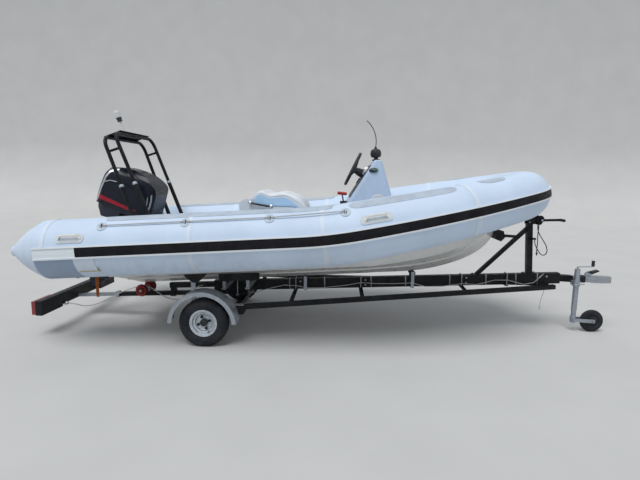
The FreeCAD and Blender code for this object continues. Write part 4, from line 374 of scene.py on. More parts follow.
def anti_slip(name, colour):
    """Diamond-grained grey pad for the tube tops."""
    f = Finish(name, colour, 0.75, spec=0.25)
    grain = f.sum(*[f.waves(150, where=f.stretched((1, 1, 1), turn=(0, 0, turn)))
                    for turn in (0.785, -0.785)])
    tone = f.clouded(f.patches((7, 5, 0.6), 0.35, 0.75), colour, 0.86, 1.1)
    return f.done(tone, ((30, 3), 0.3, 0.7, 0.66, 0.86), grain, 0.0006, 0.7)


def vinyl(name, colour, side_shade=None):
    """Soft cushion skin: a fine leather grain with slight creasing, and maybe its sides painted in a second, bluer
    colour as shade under a paler top, where the piece's own stored depth is above nought."""
    f = Finish(name, colour, 0.42, spec=0.35)
    if side_shade:
        depth = f.add("ShaderNodeAttribute", attribute_name="side_shade_depth").outputs["Fac"]
        tone = f.blend(f.within(depth, -0.0006, 0.0006), colour, side_shade)
        tone = f.blend(f.patches((7, 4), 0.35, 0.7, 0.0, 0.10), tone, (0.45, 0.48, 0.52))
    else:
        tone = f.clouded(f.patches((7, 4), 0.35, 0.7), colour, 0.93, 1.04)
    grain = f.within(f.cells(420, "Distance", "DISTANCE_TO_EDGE"), 0.0, 0.25)
    return f.done(tone, ((18, 4), 0.3, 0.7, 0.36, 0.52), f.sum(grain, f.noise(24, 3)), 0.0006, 0.35)


# The record's slots
MADE = {
    "tube_fabric": tube_cloth("tube_fabric_pale", (0.618, 0.745, 0.915)),
    "cone_fabric": tube_cloth("cone_fabric_pale", (0.635, 0.75, 0.905)),
    "strake_black": rubber("strake_rubber", (0.006, 0.006, 0.009), 0.07, 120),
    "strake_white": rubber("strake_bead", (0.78, 0.83, 0.88), 0.06, 120),
    "hull_gelcoat": gelcoat("hull_gelcoat_white", (0.68, 0.68, 0.665), 0.10),
    "console_gelcoat": gelcoat("console_gelcoat_grey", (0.425, 0.54, 0.71), 0.2),
    "black_plastic": plastic("moulding_black", (0.022, 0.023, 0.027), 0.42),
    "lamp_body": plastic("lamp_black", (0.018, 0.02, 0.022), 0.28, coat=0.3),
    "seat_vinyl": vinyl("seat_vinyl_blue", (0.46, 0.66, 0.90)),
    "arch_black": black_paint("arch_powder_coat", (0.008, 0.009, 0.013), 0.0),
    "light_white": plastic("light_white", (0.74, 0.76, 0.78), 0.3),
    "handle_white": rubber("handle_moulding", (0.74, 0.75, 0.72), 0.10),
    "rope_white": laid_rope("lifeline_rope", (0.66, 0.68, 0.70)),
    "motor_navy": lacquer("motor_leg_paint", (0.028, 0.032, 0.045), 0.28),
    "cowl_navy": lacquer("cowl_lacquer", (0.004, 0.006, 0.015), 0.24),
    "motor_block": plastic("engine_block_grey", (0.10, 0.10, 0.11), 0.6),
    "prop_metal": lacquer("propeller_paint", (0.022, 0.024, 0.03), 0.3),
    "frame_black": black_paint("trailer_black", (0.010, 0.011, 0.013)),
    "galvanised": zinc("trailer_zinc", (0.345, 0.385, 0.435)),
    "tyre_rubber": rubber("tyre_rubber_dusty", (0.015, 0.018, 0.024), 0.30, 90),
    "rim_silver": zinc("rim_silver_paint", (0.50, 0.55, 0.60), 0.2),
    "roller_rubber": rubber("roller_rubber_black", (0.018, 0.018, 0.02), 0.35),
    "pad_rubber": rubber("pad_rubber_black", (0.016, 0.016, 0.018), 0.3),
    "board_black": plastic("board_moulding", (0.008, 0.008, 0.010), 0.45, dust=0.04),
    "lens_red": clear_lens("lamp_lens_red", (0.36, 0.010, 0.022)),
    "cable_grey": plastic("cable_sheath_grey", (0.50, 0.49, 0.47), 0.5),
    "rope_black": laid_rope("winch_rope_black", (0.035, 0.036, 0.04), 130),
    "cable_steel": bright_metal("cable_steel", (0.45, 0.46, 0.48), 0.35),
    "strap_orange": webbing("strap_webbing_orange", (0.78, 0.25, 0.07)),
}
# Finishes of single pieces, beside their slot's own
RED_GRIP = plastic("throttle_grip_red", (0.42, 0.02, 0.02), 0.35)
PAD_GREY = anti_slip("pad_grey", (0.52, 0.60, 0.70))
PANEL_GREY = tube_cloth("panel_grey", (0.30, 0.40, 0.56))
CHROME = bright_metal("chromed_brass", (0.72, 0.73, 0.74))
GREEN_LENS = clear_lens("side_lens_green", (0.0, 0.16, 0.10))
RED_LENS = clear_lens("side_lens_red", (0.36, 0.01, 0.02))
CLEAR_LENS = plastic("clear_light_head", (0.62, 0.65, 0.68), 0.12, coat=0.6)
SEAM_TAPE = tube_cloth("seam_tape", (0.69, 0.79, 0.91))
SILVER_TRIM = bright_metal("silver_film", (0.50, 0.52, 0.56), 0.32)
RED_STRIPE = plastic("stripe_red", (0.34, 0.006, 0.022), 0.30, coat=0.1, dust=0.02)
GLUE = plastic("old_glue", (0.42, 0.33, 0.14), 0.5)
# Seat cushion skin: a paler top, with the sides painted bluer as shade.
CUSHION_SKIN_WITH_SIDE_SHADE = vinyl("cushion_with_painted_side_shade", (0.78, 0.82, 0.87), (0.46, 0.68, 0.92))
SEAT_SHELL = gelcoat("seat_gelcoat_pale", (0.68, 0.72, 0.77), 0.12)
RING_WHITE = rubber("ring_patch_white", (0.60, 0.68, 0.76), 0.06)
BASE_WHITE = rubber("handle_base_white", (0.64, 0.70, 0.76), 0.06)
NODE_FINISHES = {"lifeline_rings": RING_WHITE, "seat_base": SEAT_SHELL}


def dress_nodes():
    """Gives every CAD node the finish of its record slot, or its own."""
    for part in frame["record"]["subparts"]:
        finish = NODE_FINISHES.get(part["node"], MADE[part["material_slot"]])
        for slot in NODES[part["node"]].material_slots:
            slot.material = finish


# Modelling helpers

SHARP_ANGLE = math.radians(38)


def keep(name, bm, slot, finish=None, body=ROOT):
    """Makes a smooth piece of a bmesh, in its slot's own finish or another."""
    mesh = bpy.data.meshes.new(name)
    bm.to_mesh(mesh)
    bm.free()
    mesh.materials.append(finish or MADE[slot])
    for face in mesh.polygons:
        face.use_smooth = True
    piece = bpy.data.objects.new(name, mesh)
    bpy.context.collection.objects.link(piece)
    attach(piece, body)
    mesh.set_sharp_from_angle(angle=SHARP_ANGLE)
    return piece


def facing(point, direction):
    """Matrix that carries +Z to a direction at a point."""
    turn = Vector(direction).to_track_quat("Z", "Y").to_matrix().to_4x4()
    return Matrix.Translation(point) @ turn


def raised(place, height):
    return place @ Matrix.Translation((0, 0, height))


def circle(radius, count, start=0.0):
    """Even points round a circle in the XY plane, from an angle."""
    angles = [math.tau * k / count + start for k in range(count)]
    return [(radius * math.cos(a), radius * math.sin(a)) for a in angles]


def circle_points(centre, axis, radius, count=32):
    matrix = facing(centre, axis)
    return [matrix @ Vector((x, y, 0)) for x, y in circle(radius, count)]


def squared(power, count, start=0.0):
    """Points round a circle of radius one that is drawn out towards a square."""
    spots = []
    for x, y in circle(1.0, count, start):
        reach = (abs(x) ** power + abs(y) ** power) ** (-1 / power)
        spots.append((x * reach, y * reach))
    return spots


def disc(radius, top, low=0.0):
    """Profile of a flat disc."""
    return [(0.0, low), (radius, low), (radius, top), (0.0, top)]


def bar(half_length, half_width):
    """Outline of a bar about its middle."""
    return [(-half_length, -half_width), (half_length, -half_width), (half_length, half_width),
            (-half_length, half_width)]


def add_block(bm, low, high, bevel):
    """Block between two corners with rounded edges."""
    made = bmesh.ops.create_cube(bm, size=1)["verts"]
    bmesh.ops.scale(bm, vec=high - low, verts=made)
    bmesh.ops.translate(bm, vec=(low + high) / 2, verts=made)
    edges = list({edge for vert in made for edge in vert.link_edges})
    bmesh.ops.bevel(bm, geom=edges, offset=bevel, segments=2, profile=0.5, affect="EDGES",
                    material=-1)


def add_line(bm, points):
    """Vertices joined by edges, for an operator to spin or sweep."""
    verts = [bm.verts.new(point) for point in points]
    return verts, [bm.edges.new(pair) for pair in zip(verts, verts[1:])]


def verts_of(geometry):
    return [item for item in geometry if isinstance(item, bmesh.types.BMVert)]


def add_turned(bm, profile, place, steps=32):
    """Spins a profile of (radius, height) points about Z and puts it in place."""
    before = set(bm.verts)
    verts, edges = add_line(bm, [(radius, 0, height) for radius, height in profile])
    bmesh.ops.spin(bm, geom=verts + edges, cent=(0, 0, 0), axis=(0, 0, 1), angle=math.tau,
                   steps=steps, use_merge=True)
    bmesh.ops.remove_doubles(bm, verts=[vert for vert in bm.verts if vert not in before], dist=1e-6)
    whole = [vert for vert in bm.verts if vert not in before]
    faces = list({face for vert in whole for face in vert.link_faces})
    bmesh.ops.recalc_face_normals(bm, faces=faces)
    bmesh.ops.transform(bm, matrix=place, verts=whole)


def add_plate(bm, outline, thick, place, bevel=0.0):
    """Extrudes a flat outline of (x, y) points by a thickness along Z."""
    verts = [bm.verts.new((x, y, 0)) for x, y in outline]
    face = bm.faces.new(verts)
    bmesh.ops.recalc_face_normals(bm, faces=[face])
    top = verts_of(bmesh.ops.extrude_face_region(bm, geom=[face])["geom"])
    bmesh.ops.translate(bm, vec=(0, 0, thick), verts=top)
    whole = verts + top
    faces = list({f for vert in whole for f in vert.link_faces})
    bmesh.ops.recalc_face_normals(bm, faces=faces)
    bmesh.ops.transform(bm, matrix=place, verts=whole)
    if bevel:
        edges = list({e for vert in whole for e in vert.link_edges})
        bmesh.ops.bevel(bm, geom=edges, offset=bevel, segments=2, profile=0.5, affect="EDGES",
                        material=-1)


def add_hex_bolt(bm, point, direction, size=0.010, washer=True):
    """Bolt head with its washer, standing on a surface."""
    place = facing(point, direction)
    if washer:
        add_turned(bm, disc(size * 1.1, size * 0.14), place, 16)
    add_plate(bm, circle(size * 0.92, 6), size * 0.62, raised(place, size * 0.12), size * 0.08)


def join_rings(bm, ring, after):
    for k in range(len(ring)):
        m = (k + 1) % len(ring)
        bm.faces.new((ring[k], ring[m], after[m], after[k]))


def close_rings(bm, rings):
    """Faces between rings of as many points each, and flat ends."""
    for ring, after in zip(rings, rings[1:]):
        join_rings(bm, ring, after)
    bm.faces.new(rings[0][::-1])
    bm.faces.new(rings[-1])


def add_tube(bm, points, radius, sides=8, closed=False):
    """Round tube swept along points, with flat ends or joined into a ring."""
    points = [Vector(point) for point in points]
    count = len(points)
    section = circle(radius, sides)
    rings = []
    normal = None
    for i, point in enumerate(points):
        if closed:
            along = points[(i + 1) % count] - points[i - 1]
        else:
            along = points[min(i + 1, count - 1)] - points[max(i - 1, 0)]
        along.normalize()
        if normal is None:
            normal = along.orthogonal()
        normal = (normal - along * normal.dot(along)).normalized()
        other = along.cross(normal)
        rings.append([bm.verts.new(point + normal * x + other * y) for x, y in section])
    if closed:
        for ring, after in zip(rings, rings[1:]):
            join_rings(bm, ring, after)
        last, first = rings[-1], rings[0]
        shift = min(range(sides), key=lambda k: (last[0].co - first[k].co).length)
        join_rings(bm, last, first[shift:] + first[:shift])
    else:
        close_rings(bm, rings)


def add_rod(bm, start, end, radius, sides):
    add_tube(bm, [start, end], radius, sides)


def add_grid(bm, rows):
    lines = [[bm.verts.new(point) for point in row] for row in rows]
    for line, after in zip(lines, lines[1:]):
        for j in range(len(line) - 1):
            bm.faces.new((line[j], after[j], after[j + 1], line[j + 1]))


def thicken(bm, thick):
    bmesh.ops.solidify(bm, geom=bm.faces[:], thickness=thick)
    bmesh.ops.recalc_face_normals(bm, faces=bm.faces[:])


# Path of the air tubes, as the solids have it

TUBE_R = 0.240
BOW_TUBE_R = 0.205
TUBE_Y = 0.744
TUBE_Z = 0.880
SHEER_X = 0.800
BEND_X = 1.250
BOW_X = 2.820
BOW_TURN_R = 0.400
RISE = math.radians(7.1)
SHEER_R = (BEND_X - SHEER_X) / math.sin(RISE)
BOW_REACH = (BOW_X - BEND_X) / math.cos(RISE)
BEND_TURN = 2 * math.atan((TUBE_Y - BOW_TURN_R) / (BOW_REACH - BOW_TURN_R))
BEND_R = BOW_TURN_R + (BOW_REACH - BOW_TURN_R) / math.sin(BEND_TURN)


def round_arc(place, centre, axis, angle):
    turn = Quaternion(axis, angle)
    spot, across, upward = place
    return centre + turn @ (spot - centre), turn @ across, turn @ upward


def tube_place(x, side):
    """Centre and section directions of a side tube, in the level boat frame."""
    if x <= SHEER_X:
        return (Vector((x, side * TUBE_Y, TUBE_Z)), PORT_AXIS * side, UP), TUBE_R
    start = (Vector((SHEER_X, side * TUBE_Y, TUBE_Z)), PORT_AXIS * side, UP)
    sheer_centre = start[0] + UP * SHEER_R
    if x <= BEND_X:
        angle = -math.asin((x - SHEER_X) / SHEER_R)
        return round_arc(start, sheer_centre, PORT_AXIS, angle), TUBE_R
    bend = round_arc(start, sheer_centre, PORT_AXIS, -RISE)
    angle = min(math.asin((x - BEND_X) / math.cos(RISE) / BEND_R), BEND_TURN)
    place = round_arc(bend, bend[0] - bend[1] * BEND_R, bend[2] * -side, angle)
    return place, TUBE_R + (BOW_TUBE_R - TUBE_R) * angle / BEND_TURN


def over_tube(x, side, lift, degrees):
    """Point over a tube and the direction outwards there, in the row frame."""
    (spot, across, upward), radius = tube_place(x, side)
    angle = math.radians(degrees)
    outward = across * math.cos(angle) + upward * math.sin(angle)
    return BOAT @ (spot + outward * (radius + lift)), BOAT_TURN @ outward


def along_tube(x, side, degrees, reach):
    """Direction of a tube's skin at a place, over a reach to each side."""
    ends = [over_tube(at, side, 0, degrees)[0] for at in (x + reach, x - reach)]
    return (ends[0] - ends[1]).normalized()


def end_narrowing(along, half_length, rounding):
    """Share of its width that a sheet keeps at a place, from -1 to 1 along it."""
    if not rounding:
        return 1.0
    near_end = max(0.0, 1 - (1 - abs(along)) * half_length / rounding)
    return max(math.sqrt(max(0.0, 1 - near_end ** 2.4)), 0.06)


def tube_sheet(name, spans, slot, finish, thick, lift=0.0004, steps=(48, 10)):
    """Sheets laid on the tubes: each span is side, x from and to, angles low and high, and
    how far its ends are rounded."""
    bm = bmesh.new()
    for side, x0, x1, low, high, rounding in spans:
        half_length = (x1 - x0) / 2
        grid = bmesh.ops.create_grid(bm, x_segments=steps[0], y_segments=steps[1], size=1)["verts"]
        for vert in grid:
            width = end_narrowing(vert.co.x, half_length, rounding)
            degrees = (low + high) / 2 + vert.co.y * width * (high - low) / 2
            vert.co = over_tube((x0 + x1) / 2 + vert.co.x * half_length, side, lift, degrees)[0]
    bm.normal_update()
    outside = [face for face in bm.faces
               if face.normal.dot(Vector((0, face.calc_center_median().y, 0.4))) < 0]
    bmesh.ops.reverse_faces(bm, faces=outside)
    thicken(bm, -thick)
    return keep(name, bm, slot, finish)


# Free cords, on the routes of their solids

LAMP_CABLE = [
    (-1.424, -.285, .208), (-1.374, -.285, .208), (-1.290, -.240, .164), (-1.204, -.182, .174),
    (-1.115, -.124, .216), (-1.040, -.084, .258), (-.962, -.060, .290), (-.884, -.052, .314),
    (-.826, -.050, .325), (-.768, -.050, .324), (-.712, -.052, .307), (-.658, -.056, .267),
    (-.598, -.060, .228), (-.522, -.062, .204), (-.442, -.062, .202), (-.374, -.057, .232),
    (-.322, -.046, .286), (-.272, -.034, .336), (-.215, -.034, .3485)]
WINCH_ROPE = [
    (2.952, -.056, 1.005), (2.952, -.056, .962), (2.970, -.058, .916), (2.998, -.060, .873),
    (3.028, -.060, .832), (3.051, -.059, .788), (3.057, -.058, .745), (3.034, -.058, .714),
    (3.000, -.057, .722), (2.972, -.056, .760), (2.950, -.053, .801), (2.938, -.050, .832),
    (2.938, -.050, .860)]
ROPE_TAIL = [(2.952, -.078, 1.005), (2.952, -.078, .960), (2.949, -.076, .900),
             (2.954, -.078, .842), (2.951, -.077, .790), (2.953, -.076, .745)]
BREAKAWAY = [(3.085, -.012, .438), (3.084, -.013, .396), (3.076, -.015, .350),
             (3.062, -.019, .304), (3.050, -.022, .258), (3.047, -.023, .218)]
KNOT_SCALE, KNOT_STEPS = 0.0026, 60
HOOK_R, HOOK_SHARE = 0.0090, 0.93


def cord_line(name, points, radius, slot, node):
    """Smooth round cord with the route's points as its control points."""
    curve = bpy.data.curves.new(name, "CURVE")
    curve.dimensions = "3D"
    curve.bevel_depth = radius
    curve.bevel_resolution = 4
    curve.resolution_u = 10
    curve.use_fill_caps = True
    spline = curve.splines.new("NURBS")
    spline.points.add(len(points) - 1)
    for point, place in zip(spline.points, points):
        point.co = (*on_trailer(*place), 1)
    spline.order_u = 3
    spline.use_endpoint_u = True
    curve.materials.append(MADE[slot])
    piece = bpy.data.objects.new(name, curve)
    bpy.context.collection.objects.link(piece)
    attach(piece, ROOT)
    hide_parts(node)
    return piece


def cord_end(route):
    """Place at a route's end, with +Z out of it."""
    before, end = [on_trailer(*place) for place in route[-2:]]
    return facing(end, end - before)


def make_cord_ends():
    """Stopper knot on the rope's tail, and a ferrule with a snap hook on the breakaway wire."""
    place = cord_end(ROPE_TAIL)
    bm = bmesh.new()
    loop = []
    for k in range(KNOT_STEPS):
        t = math.tau * k / KNOT_STEPS
        loop.append(place @ Vector((KNOT_SCALE * (math.sin(t) + 2 * math.sin(2 * t)),
                                    KNOT_SCALE * (math.cos(t) - 2 * math.cos(2 * t)),
                                    0.0100 - 0.0052 * math.sin(3 * t))))
    add_tube(bm, loop, 0.0030, 8, closed=True)
    core = [place @ Vector((0, 0, z)) for z in (0.0, 0.008, 0.016, 0.024, 0.030)]
    add_tube(bm, core, 0.0038, 10)
    knot = keep("rope_stopper_knot", bm, "rope_black")
    place = cord_end(BREAKAWAY)
    bm = bmesh.new()
    add_turned(bm, [(0.0, 0.0), (0.0034, 0.0), (0.0040, 0.001), (0.0040, 0.005), (0.0034, 0.007),
                    (0.0034, 0.009), (0.0040, 0.011), (0.0040, 0.0155), (0.0, 0.0160)], place, 20)
    angles = [math.tau * (k / 29) * HOOK_SHARE + math.pi for k in range(30)]
    ring = [place @ Vector((HOOK_R * math.sin(a), 0, 0.0245 + HOOK_R * math.cos(a)))
            for a in angles]
    add_tube(bm, ring, 0.0020, 8)
    add_rod(bm, place @ Vector((0.0072, 0, 0.0190)), place @ Vector((0.0086, 0, 0.0300)), 0.0015, 8)
    hook = keep("breakaway_hook", bm, "cable_steel")
    for piece in (knot, hook):
        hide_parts("cord_ends")
    return knot, hook


def lay_cords():
    lamp = cord_line("lamp_lead", LAMP_CABLE, 0.0045, "cable_grey", "lamp_cable")
    rope = cord_line("winch_line", WINCH_ROPE, 0.004, "rope_black", "winch_rope")
    knot, hook = make_cord_ends()
    tail = cord_line("winch_line_tail", ROPE_TAIL, 0.004, "rope_black", "rope_tail")
    safety = cord_line("breakaway_wire", BREAKAWAY, 0.0025, "cable_steel", "breakaway_cable")


def search_tree(mesh):
    return BVHTree.FromPolygons([vert.co.copy() for vert in mesh.vertices],
                                [face.vertices[:] for face in mesh.polygons])


def skin_of(name):
    """Search tree over the surface of a CAD node, in the row frame."""
    return search_tree(NODES[name].data)


# The boat's fabric and its moulded fittings

HANDLE_X = (-0.945, 1.395)
HANDLE_ANGLE = 27
HANDLE_REACH = 0.112
GRIP_STEPS, GRIP_SIDES = 16, 14
RING_X = (-0.711, -0.055, 0.593, 1.187)
RING_ANGLE = 49
STERN_TAPE_X = -1.165
TAPE_HALF = 0.018


def dress_tubes():
    """Grey pads along the tops, seam tapes, the stern's darker panels and one old repair."""
    pads, tapes = [], []
    for side in SIDES:
        pads += [(side, -0.74, 1.12, 64, 112, 0.07), (side, 1.22, 2.04, 54, 80, 0.10),
                 (side, 2.26, 2.50, 62, 98, 0.10)]
        for x in (STERN_TAPE_X, -0.02, 1.00, 2.12):
            upper, lower = [(side, x - TAPE_HALF, x + TAPE_HALF, low, high, 0)
                            for low, high in ((12, 176), (-176, -12))]
            tapes += [upper] if x == STERN_TAPE_X else [upper, lower]
    panels = [(side, -1.238, -0.93, -176, -11.5, 0) for side in SIDES]
    patch = [(STARBOARD, -0.928, -0.765, -41, -12, 0)]
    glue = [(STARBOARD, -0.915, -0.760, -42.2, -39.8, 0), (STARBOARD, -0.766, -0.752, -43.5, -33, 0)]
    tube_sheet("tube_top_pads", pads, "cone_fabric", PAD_GREY, 0.0022)
    tube_sheet("stern_under_panels", panels, "cone_fabric", PANEL_GREY, 0.0010, steps=(12, 40))
    tube_sheet("tube_seam_tapes", tapes, "tube_fabric", SEAM_TAPE, 0.0008, 0.0014, (4, 40))
    tube_sheet("tube_repair_patch", patch, "tube_fabric", SEAM_TAPE, 0.0009, 0.0026, (12, 10))
    tube_sheet("repair_glue", glue, "tube_fabric", GLUE, 0.0008, 0.0036, (12, 4))


def add_grip(bm, x, side):
    """Arched grip of a carry handle, flat at both ends and raised between."""
    centre, outward = over_tube(x, side, 0.0, HANDLE_ANGLE)
    along = along_tube(x, side, HANDLE_ANGLE, 0.1)
    across = outward.cross(along)
    if across.z < 0:
        across = -across
    rings = []
    for i in range(2 * GRIP_STEPS + 1):
        u = i / GRIP_STEPS - 1
        slope = min(1.0, max(0.0, (0.97 - abs(u)) / 0.34))
        slope = slope * slope * (3 - 2 * slope)
        spot = (centre + along * (u * 0.092) + outward * (0.0045 + 0.0270 * slope)
                + across * (0.014 * slope - 0.004))
        wide = across * (0.0085 + 0.009 * abs(u) ** 3)
        thick = outward * (0.0050 + 0.0008 * (1 - abs(u)))
        rings.append([bm.verts.new(spot + wide * c + thick * s) for c, s in circle(1.0, GRIP_SIDES)])
    close_rings(bm, rings)


def make_handles():
    """Moulded carry handles: a flat base on the tube and an arched grip with a soft section."""
    bases = [(side, x - HANDLE_REACH, x + HANDLE_REACH, HANDLE_ANGLE - 9.5, HANDLE_ANGLE + 8.0, 0.028)
             for side in SIDES for x in HANDLE_X]
    base = tube_sheet("handle_bases", bases, "handle_white", BASE_WHITE, 0.0055, 0.0002, (32, 8))
    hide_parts("carry_handles")
    grips, rims = bmesh.new(), bmesh.new()
    for side in SIDES:
        for x in HANDLE_X:
            add_grip(grips, x, side)
            line = [over_tube(x + c * 0.096, side, 0.0062, HANDLE_ANGLE - 0.8 + s * 6.6)[0]
                    for c, s in squared(4, 48)]
            add_tube(rims, line, 0.0016, 6, closed=True)
    bmesh.ops.recalc_face_normals(grips, faces=grips.faces[:])
    keep("handle_grips", grips, "handle_white")
    keep("handle_rims", rims, "handle_white")


def dress_rings():
    """Raised edges of the lifeline's patches and a D-ring eye in each, black as painted shade for the dark shadow
    inside the steel ring.
    """
    bm, shaded_eyes = bmesh.new(), bmesh.new()
    for side in SIDES:
        for x in RING_X:
            centre, outward = over_tube(x, side, 0.0035, RING_ANGLE)
            add_tube(bm, circle_points(centre, outward, 0.0385), 0.0018, 6, closed=True)
            add_tube(bm, circle_points(centre + outward * 0.0005, outward, 0.0290), 0.0012, 6,
                     closed=True)
            along = along_tube(x, side, RING_ANGLE, 0.05)
            for shift in (-0.0062, 0.0062):
                eye = centre + outward * 0.0035 + along * shift
                add_tube(shaded_eyes, circle_points(eye, along, 0.0135, 28), 0.0026, 8, closed=True)
    keep("ring_patch_edges", bm, "handle_white", RING_WHITE)
    # The eyes are steel D-rings given a black finish as painted shade.
    keep("lifeline_eyes_painted_shade", shaded_eyes, "lamp_body")


def dress_cones():
    """Moulded cap rings near the tips of the tube cones."""
    bm = bmesh.new()
    skin = skin_of("tube_cones")
    for side in SIDES:
        for x in (-1.532, -1.250):
            centre = on_boat(x, side * TUBE_Y, TUBE_Z)
            ring = [skin.ray_cast(point, centre - point)[0]
                    for point in circle_points(centre, BOAT_TURN @ FORE, 0.300, 48)]
            if all(ring):
                add_tube(bm, ring, 0.0022, 6, closed=True)
    keep("cone_rings", bm, "cone_fabric")


def deck_edge(deck, y):
    """The foremost place of the flat deck at a distance across, if it has one."""
    for step in range(40):
        hit, normal = deck.ray_cast(on_trailer(2.560 - 0.004 * step, y, 1.6), -UP)[:2]
        if hit and normal.z > 0.9:
            return hit
    return None


def lay_bow_lip():
    """Moulded lip that closes the deck's tip against the bow tube."""
    deck, tube = skin_of("hull"), skin_of("tube_bow")
    rows = []
    for k in range(17):
        start = deck_edge(deck, -0.17 + 0.34 * k / 16)
        if start is None:
            continue
        far = tube.ray_cast(start + UP * 0.014, FORE)[0]
        if far:
            start = start - Vector((0.030, 0, 0.0117))
            rows.append([start.lerp(far, j / 5) + UP * 0.0012 for j in range(6)])
    bm = bmesh.new()
    add_grid(bm, rows)
    thicken(bm, 0.004)
    keep("bow_deck_lip", bm, "hull_gelcoat")


# The seat

CUSHION_LOW = [(0.344, 1.150), (0.500, 1.112), (0.700, 1.096), (0.836, 1.061)]
CUSHION_CREST = [(0.352, 1.176), (0.352, 1.205), (0.362, 1.228), (0.380, 1.246), (0.405, 1.252),
                 (0.432, 1.246), (0.462, 1.232), (0.500, 1.217), (0.548, 1.214), (0.590, 1.219),
                 (0.630, 1.219), (0.668, 1.207), (0.705, 1.185), (0.745, 1.154), (0.785, 1.118),
                 (0.822, 1.083)]
CUSHION_SHRINK = (0.975, 0.955, 0.96)
SWELL_FRAMES = 20
SWELL_CAP = 0.007
# Fore end and inset of the cushion's sides that are painted bluer as shade.
SIDE_SHADE_FORE_X = 0.810
SIDE_SHADE_INSET = 0.030


def crest_height(x):
    """Height of the cushion's side crest in the level boat frame."""
    for (x0, z0), (x1, z1) in zip(CUSHION_CREST[1:], CUSHION_CREST[2:]):
        if x <= x1:
            return z0 + (z1 - z0) * max(0.0, (x - x0) / (x1 - x0))
    return CUSHION_CREST[-1][1]


def edit(piece, change):
    """Changes a piece's mesh as a bmesh."""
    bm = bmesh.new()
    bm.from_mesh(piece.data)
    change(bm)
    bm.to_mesh(piece.data)
    bm.free()


def freeze(piece):
    """Applies a piece's modifiers to its mesh."""
    graph = bpy.context.evaluated_depsgraph_get()
    graph.update()
    mesh = bpy.data.meshes.new_from_object(piece.evaluated_get(graph))
    piece.modifiers.clear()
    piece.data = mesh


def shrink_cushion(bm):
    """Draws the solid in towards its middle, so that it can swell back to its size."""
    bmesh.ops.remove_doubles(bm, verts=bm.verts, dist=0.0002)
    low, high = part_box("seat_cushion")
    centre = (Vector(low) + Vector(high)) / 2
    for vert in bm.verts:
        for axis, share in enumerate(CUSHION_SHRINK):
            vert.co[axis] = centre[axis] + (vert.co[axis] - centre[axis]) * share


def settle_cushion(bm):
    """Smooths the swelled skin and lifts what sank below the cushion's floor."""
    for _ in range(6):
        bmesh.ops.smooth_vert(bm, verts=bm.verts, factor=0.5, use_axis_x=True, use_axis_y=True,
                              use_axis_z=True)
    floor = [on_boat(x, 0, z + 0.0012) for x, z in CUSHION_LOW]
    for vert in bm.verts:
        for a, b in zip(floor, floor[1:]):
            if a.x <= vert.co.x <= b.x:
                share = (vert.co.x - a.x) / (b.x - a.x)
                vert.co.z = max(vert.co.z, a.z + (b.z - a.z) * share)


def mark_side_shade(cushion):
    """Stores how deep each point lies inside the cushion's sides below the crest band, which are painted bluer as
    shade.
    """
    depths = cushion.data.attributes.new("side_shade_depth", "FLOAT", "POINT").data
    level = BOAT.inverted()
    low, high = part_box("seat_cushion")
    half = (high.y - low.y) / 2
    for item, vert in zip(depths, cushion.data.vertices):
        spot = level @ vert.co
        band = 0.028 + 0.10 * max(0.0, spot.x - 0.60)
        item.value = min(crest_height(spot.x) - band - spot.z, SIDE_SHADE_FORE_X - spot.x,
                         abs(spot.y) - half + SIDE_SHADE_INSET)


def swell_cushion():
    """Cushion swelled by air pressure from its solid."""
    mesh = NODES["seat_cushion"].data.copy()
    mesh.name = "seat_cushion_soft"
    cushion = bpy.data.objects.new("seat_cushion_soft", mesh)
    bpy.context.collection.objects.link(cushion)
    edit(cushion, shrink_cushion)
    remesh = cushion.modifiers.new("even_skin", "REMESH")
    remesh.mode = "VOXEL"
    remesh.voxel_size = 0.009
    freeze(cushion)
    rest = [vert.co.copy() for vert in cushion.data.vertices]
    cloth = cushion.modifiers.new("air", "CLOTH")
    cloth.settings.use_pressure = True
    cloth.settings.uniform_pressure_force = 4.0
    cloth.settings.effector_weights.gravity = 0
    cloth.settings.quality = 5
    for frame_number in range(1, SWELL_FRAMES + 1):
        bpy.context.scene.frame_set(frame_number)
    freeze(cushion)
    bpy.context.scene.frame_set(1)
    for vert, start in zip(cushion.data.vertices, rest):
        moved = vert.co - start
        if moved.length > SWELL_CAP:
            vert.co = start + moved * (SWELL_CAP / moved.length)
    edit(cushion, settle_cushion)
    for face in cushion.data.polygons:
        face.use_smooth = True
    cushion.data.materials.clear()
    cushion.data.materials.append(CUSHION_SKIN_WITH_SIDE_SHADE)
    mark_side_shade(cushion)
    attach(cushion, ROOT)
    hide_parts("seat_cushion")
    return cushion


def add_welts(cushion):
    """Piping along both top edges of the cushion."""
    skin = search_tree(cushion.data)
    bm = bmesh.new()
    for side in SIDES:
        line = []
        for x, z in CUSHION_CREST:
            hit = skin.ray_cast(on_boat(x, side * 0.5, z - 0.010), PORT_AXIS * -side)[0]
            if hit:
                line.append(hit + PORT_AXIS * (side * 0.0008))
        add_tube(bm, line, 0.0032, 8)
    keep("cushion_piping", bm, "light_white")


# Console, wheel and controls

DASH_LOW, DASH_HIGH = Vector((1.194, 0, 1.118)), Vector((1.446, 0, 1.466))
GAUGE_Y = (-0.118, 0, 0.118)
HATCH_X, HATCH_Z = 1.462, 1.106
CONSOLE_SIDE = -0.3142
WHEEL_RAKE = math.radians(29.3)
WHEEL_R = 0.154
# Feet and tops of the arch's hoops in (x, z) of the level boat, aft hoop first.
ARCH_FEET = ((-0.598, 0.720), (-0.452, 0.720))
ARCH_TOPS = ((-0.895, 1.795), (-0.790, 1.826))
ARCH_Y = 0.390


def console_matrix(up_face, y, out):
    """Place on the raked dash, with +Z out of it."""
    along = (DASH_HIGH - DASH_LOW).normalized()
    normal = Vector((-along.z, 0, along.x))
    point = BOAT @ (DASH_LOW + along * up_face + PORT_AXIS * y + normal * out)
    return facing(point, BOAT_TURN @ normal)


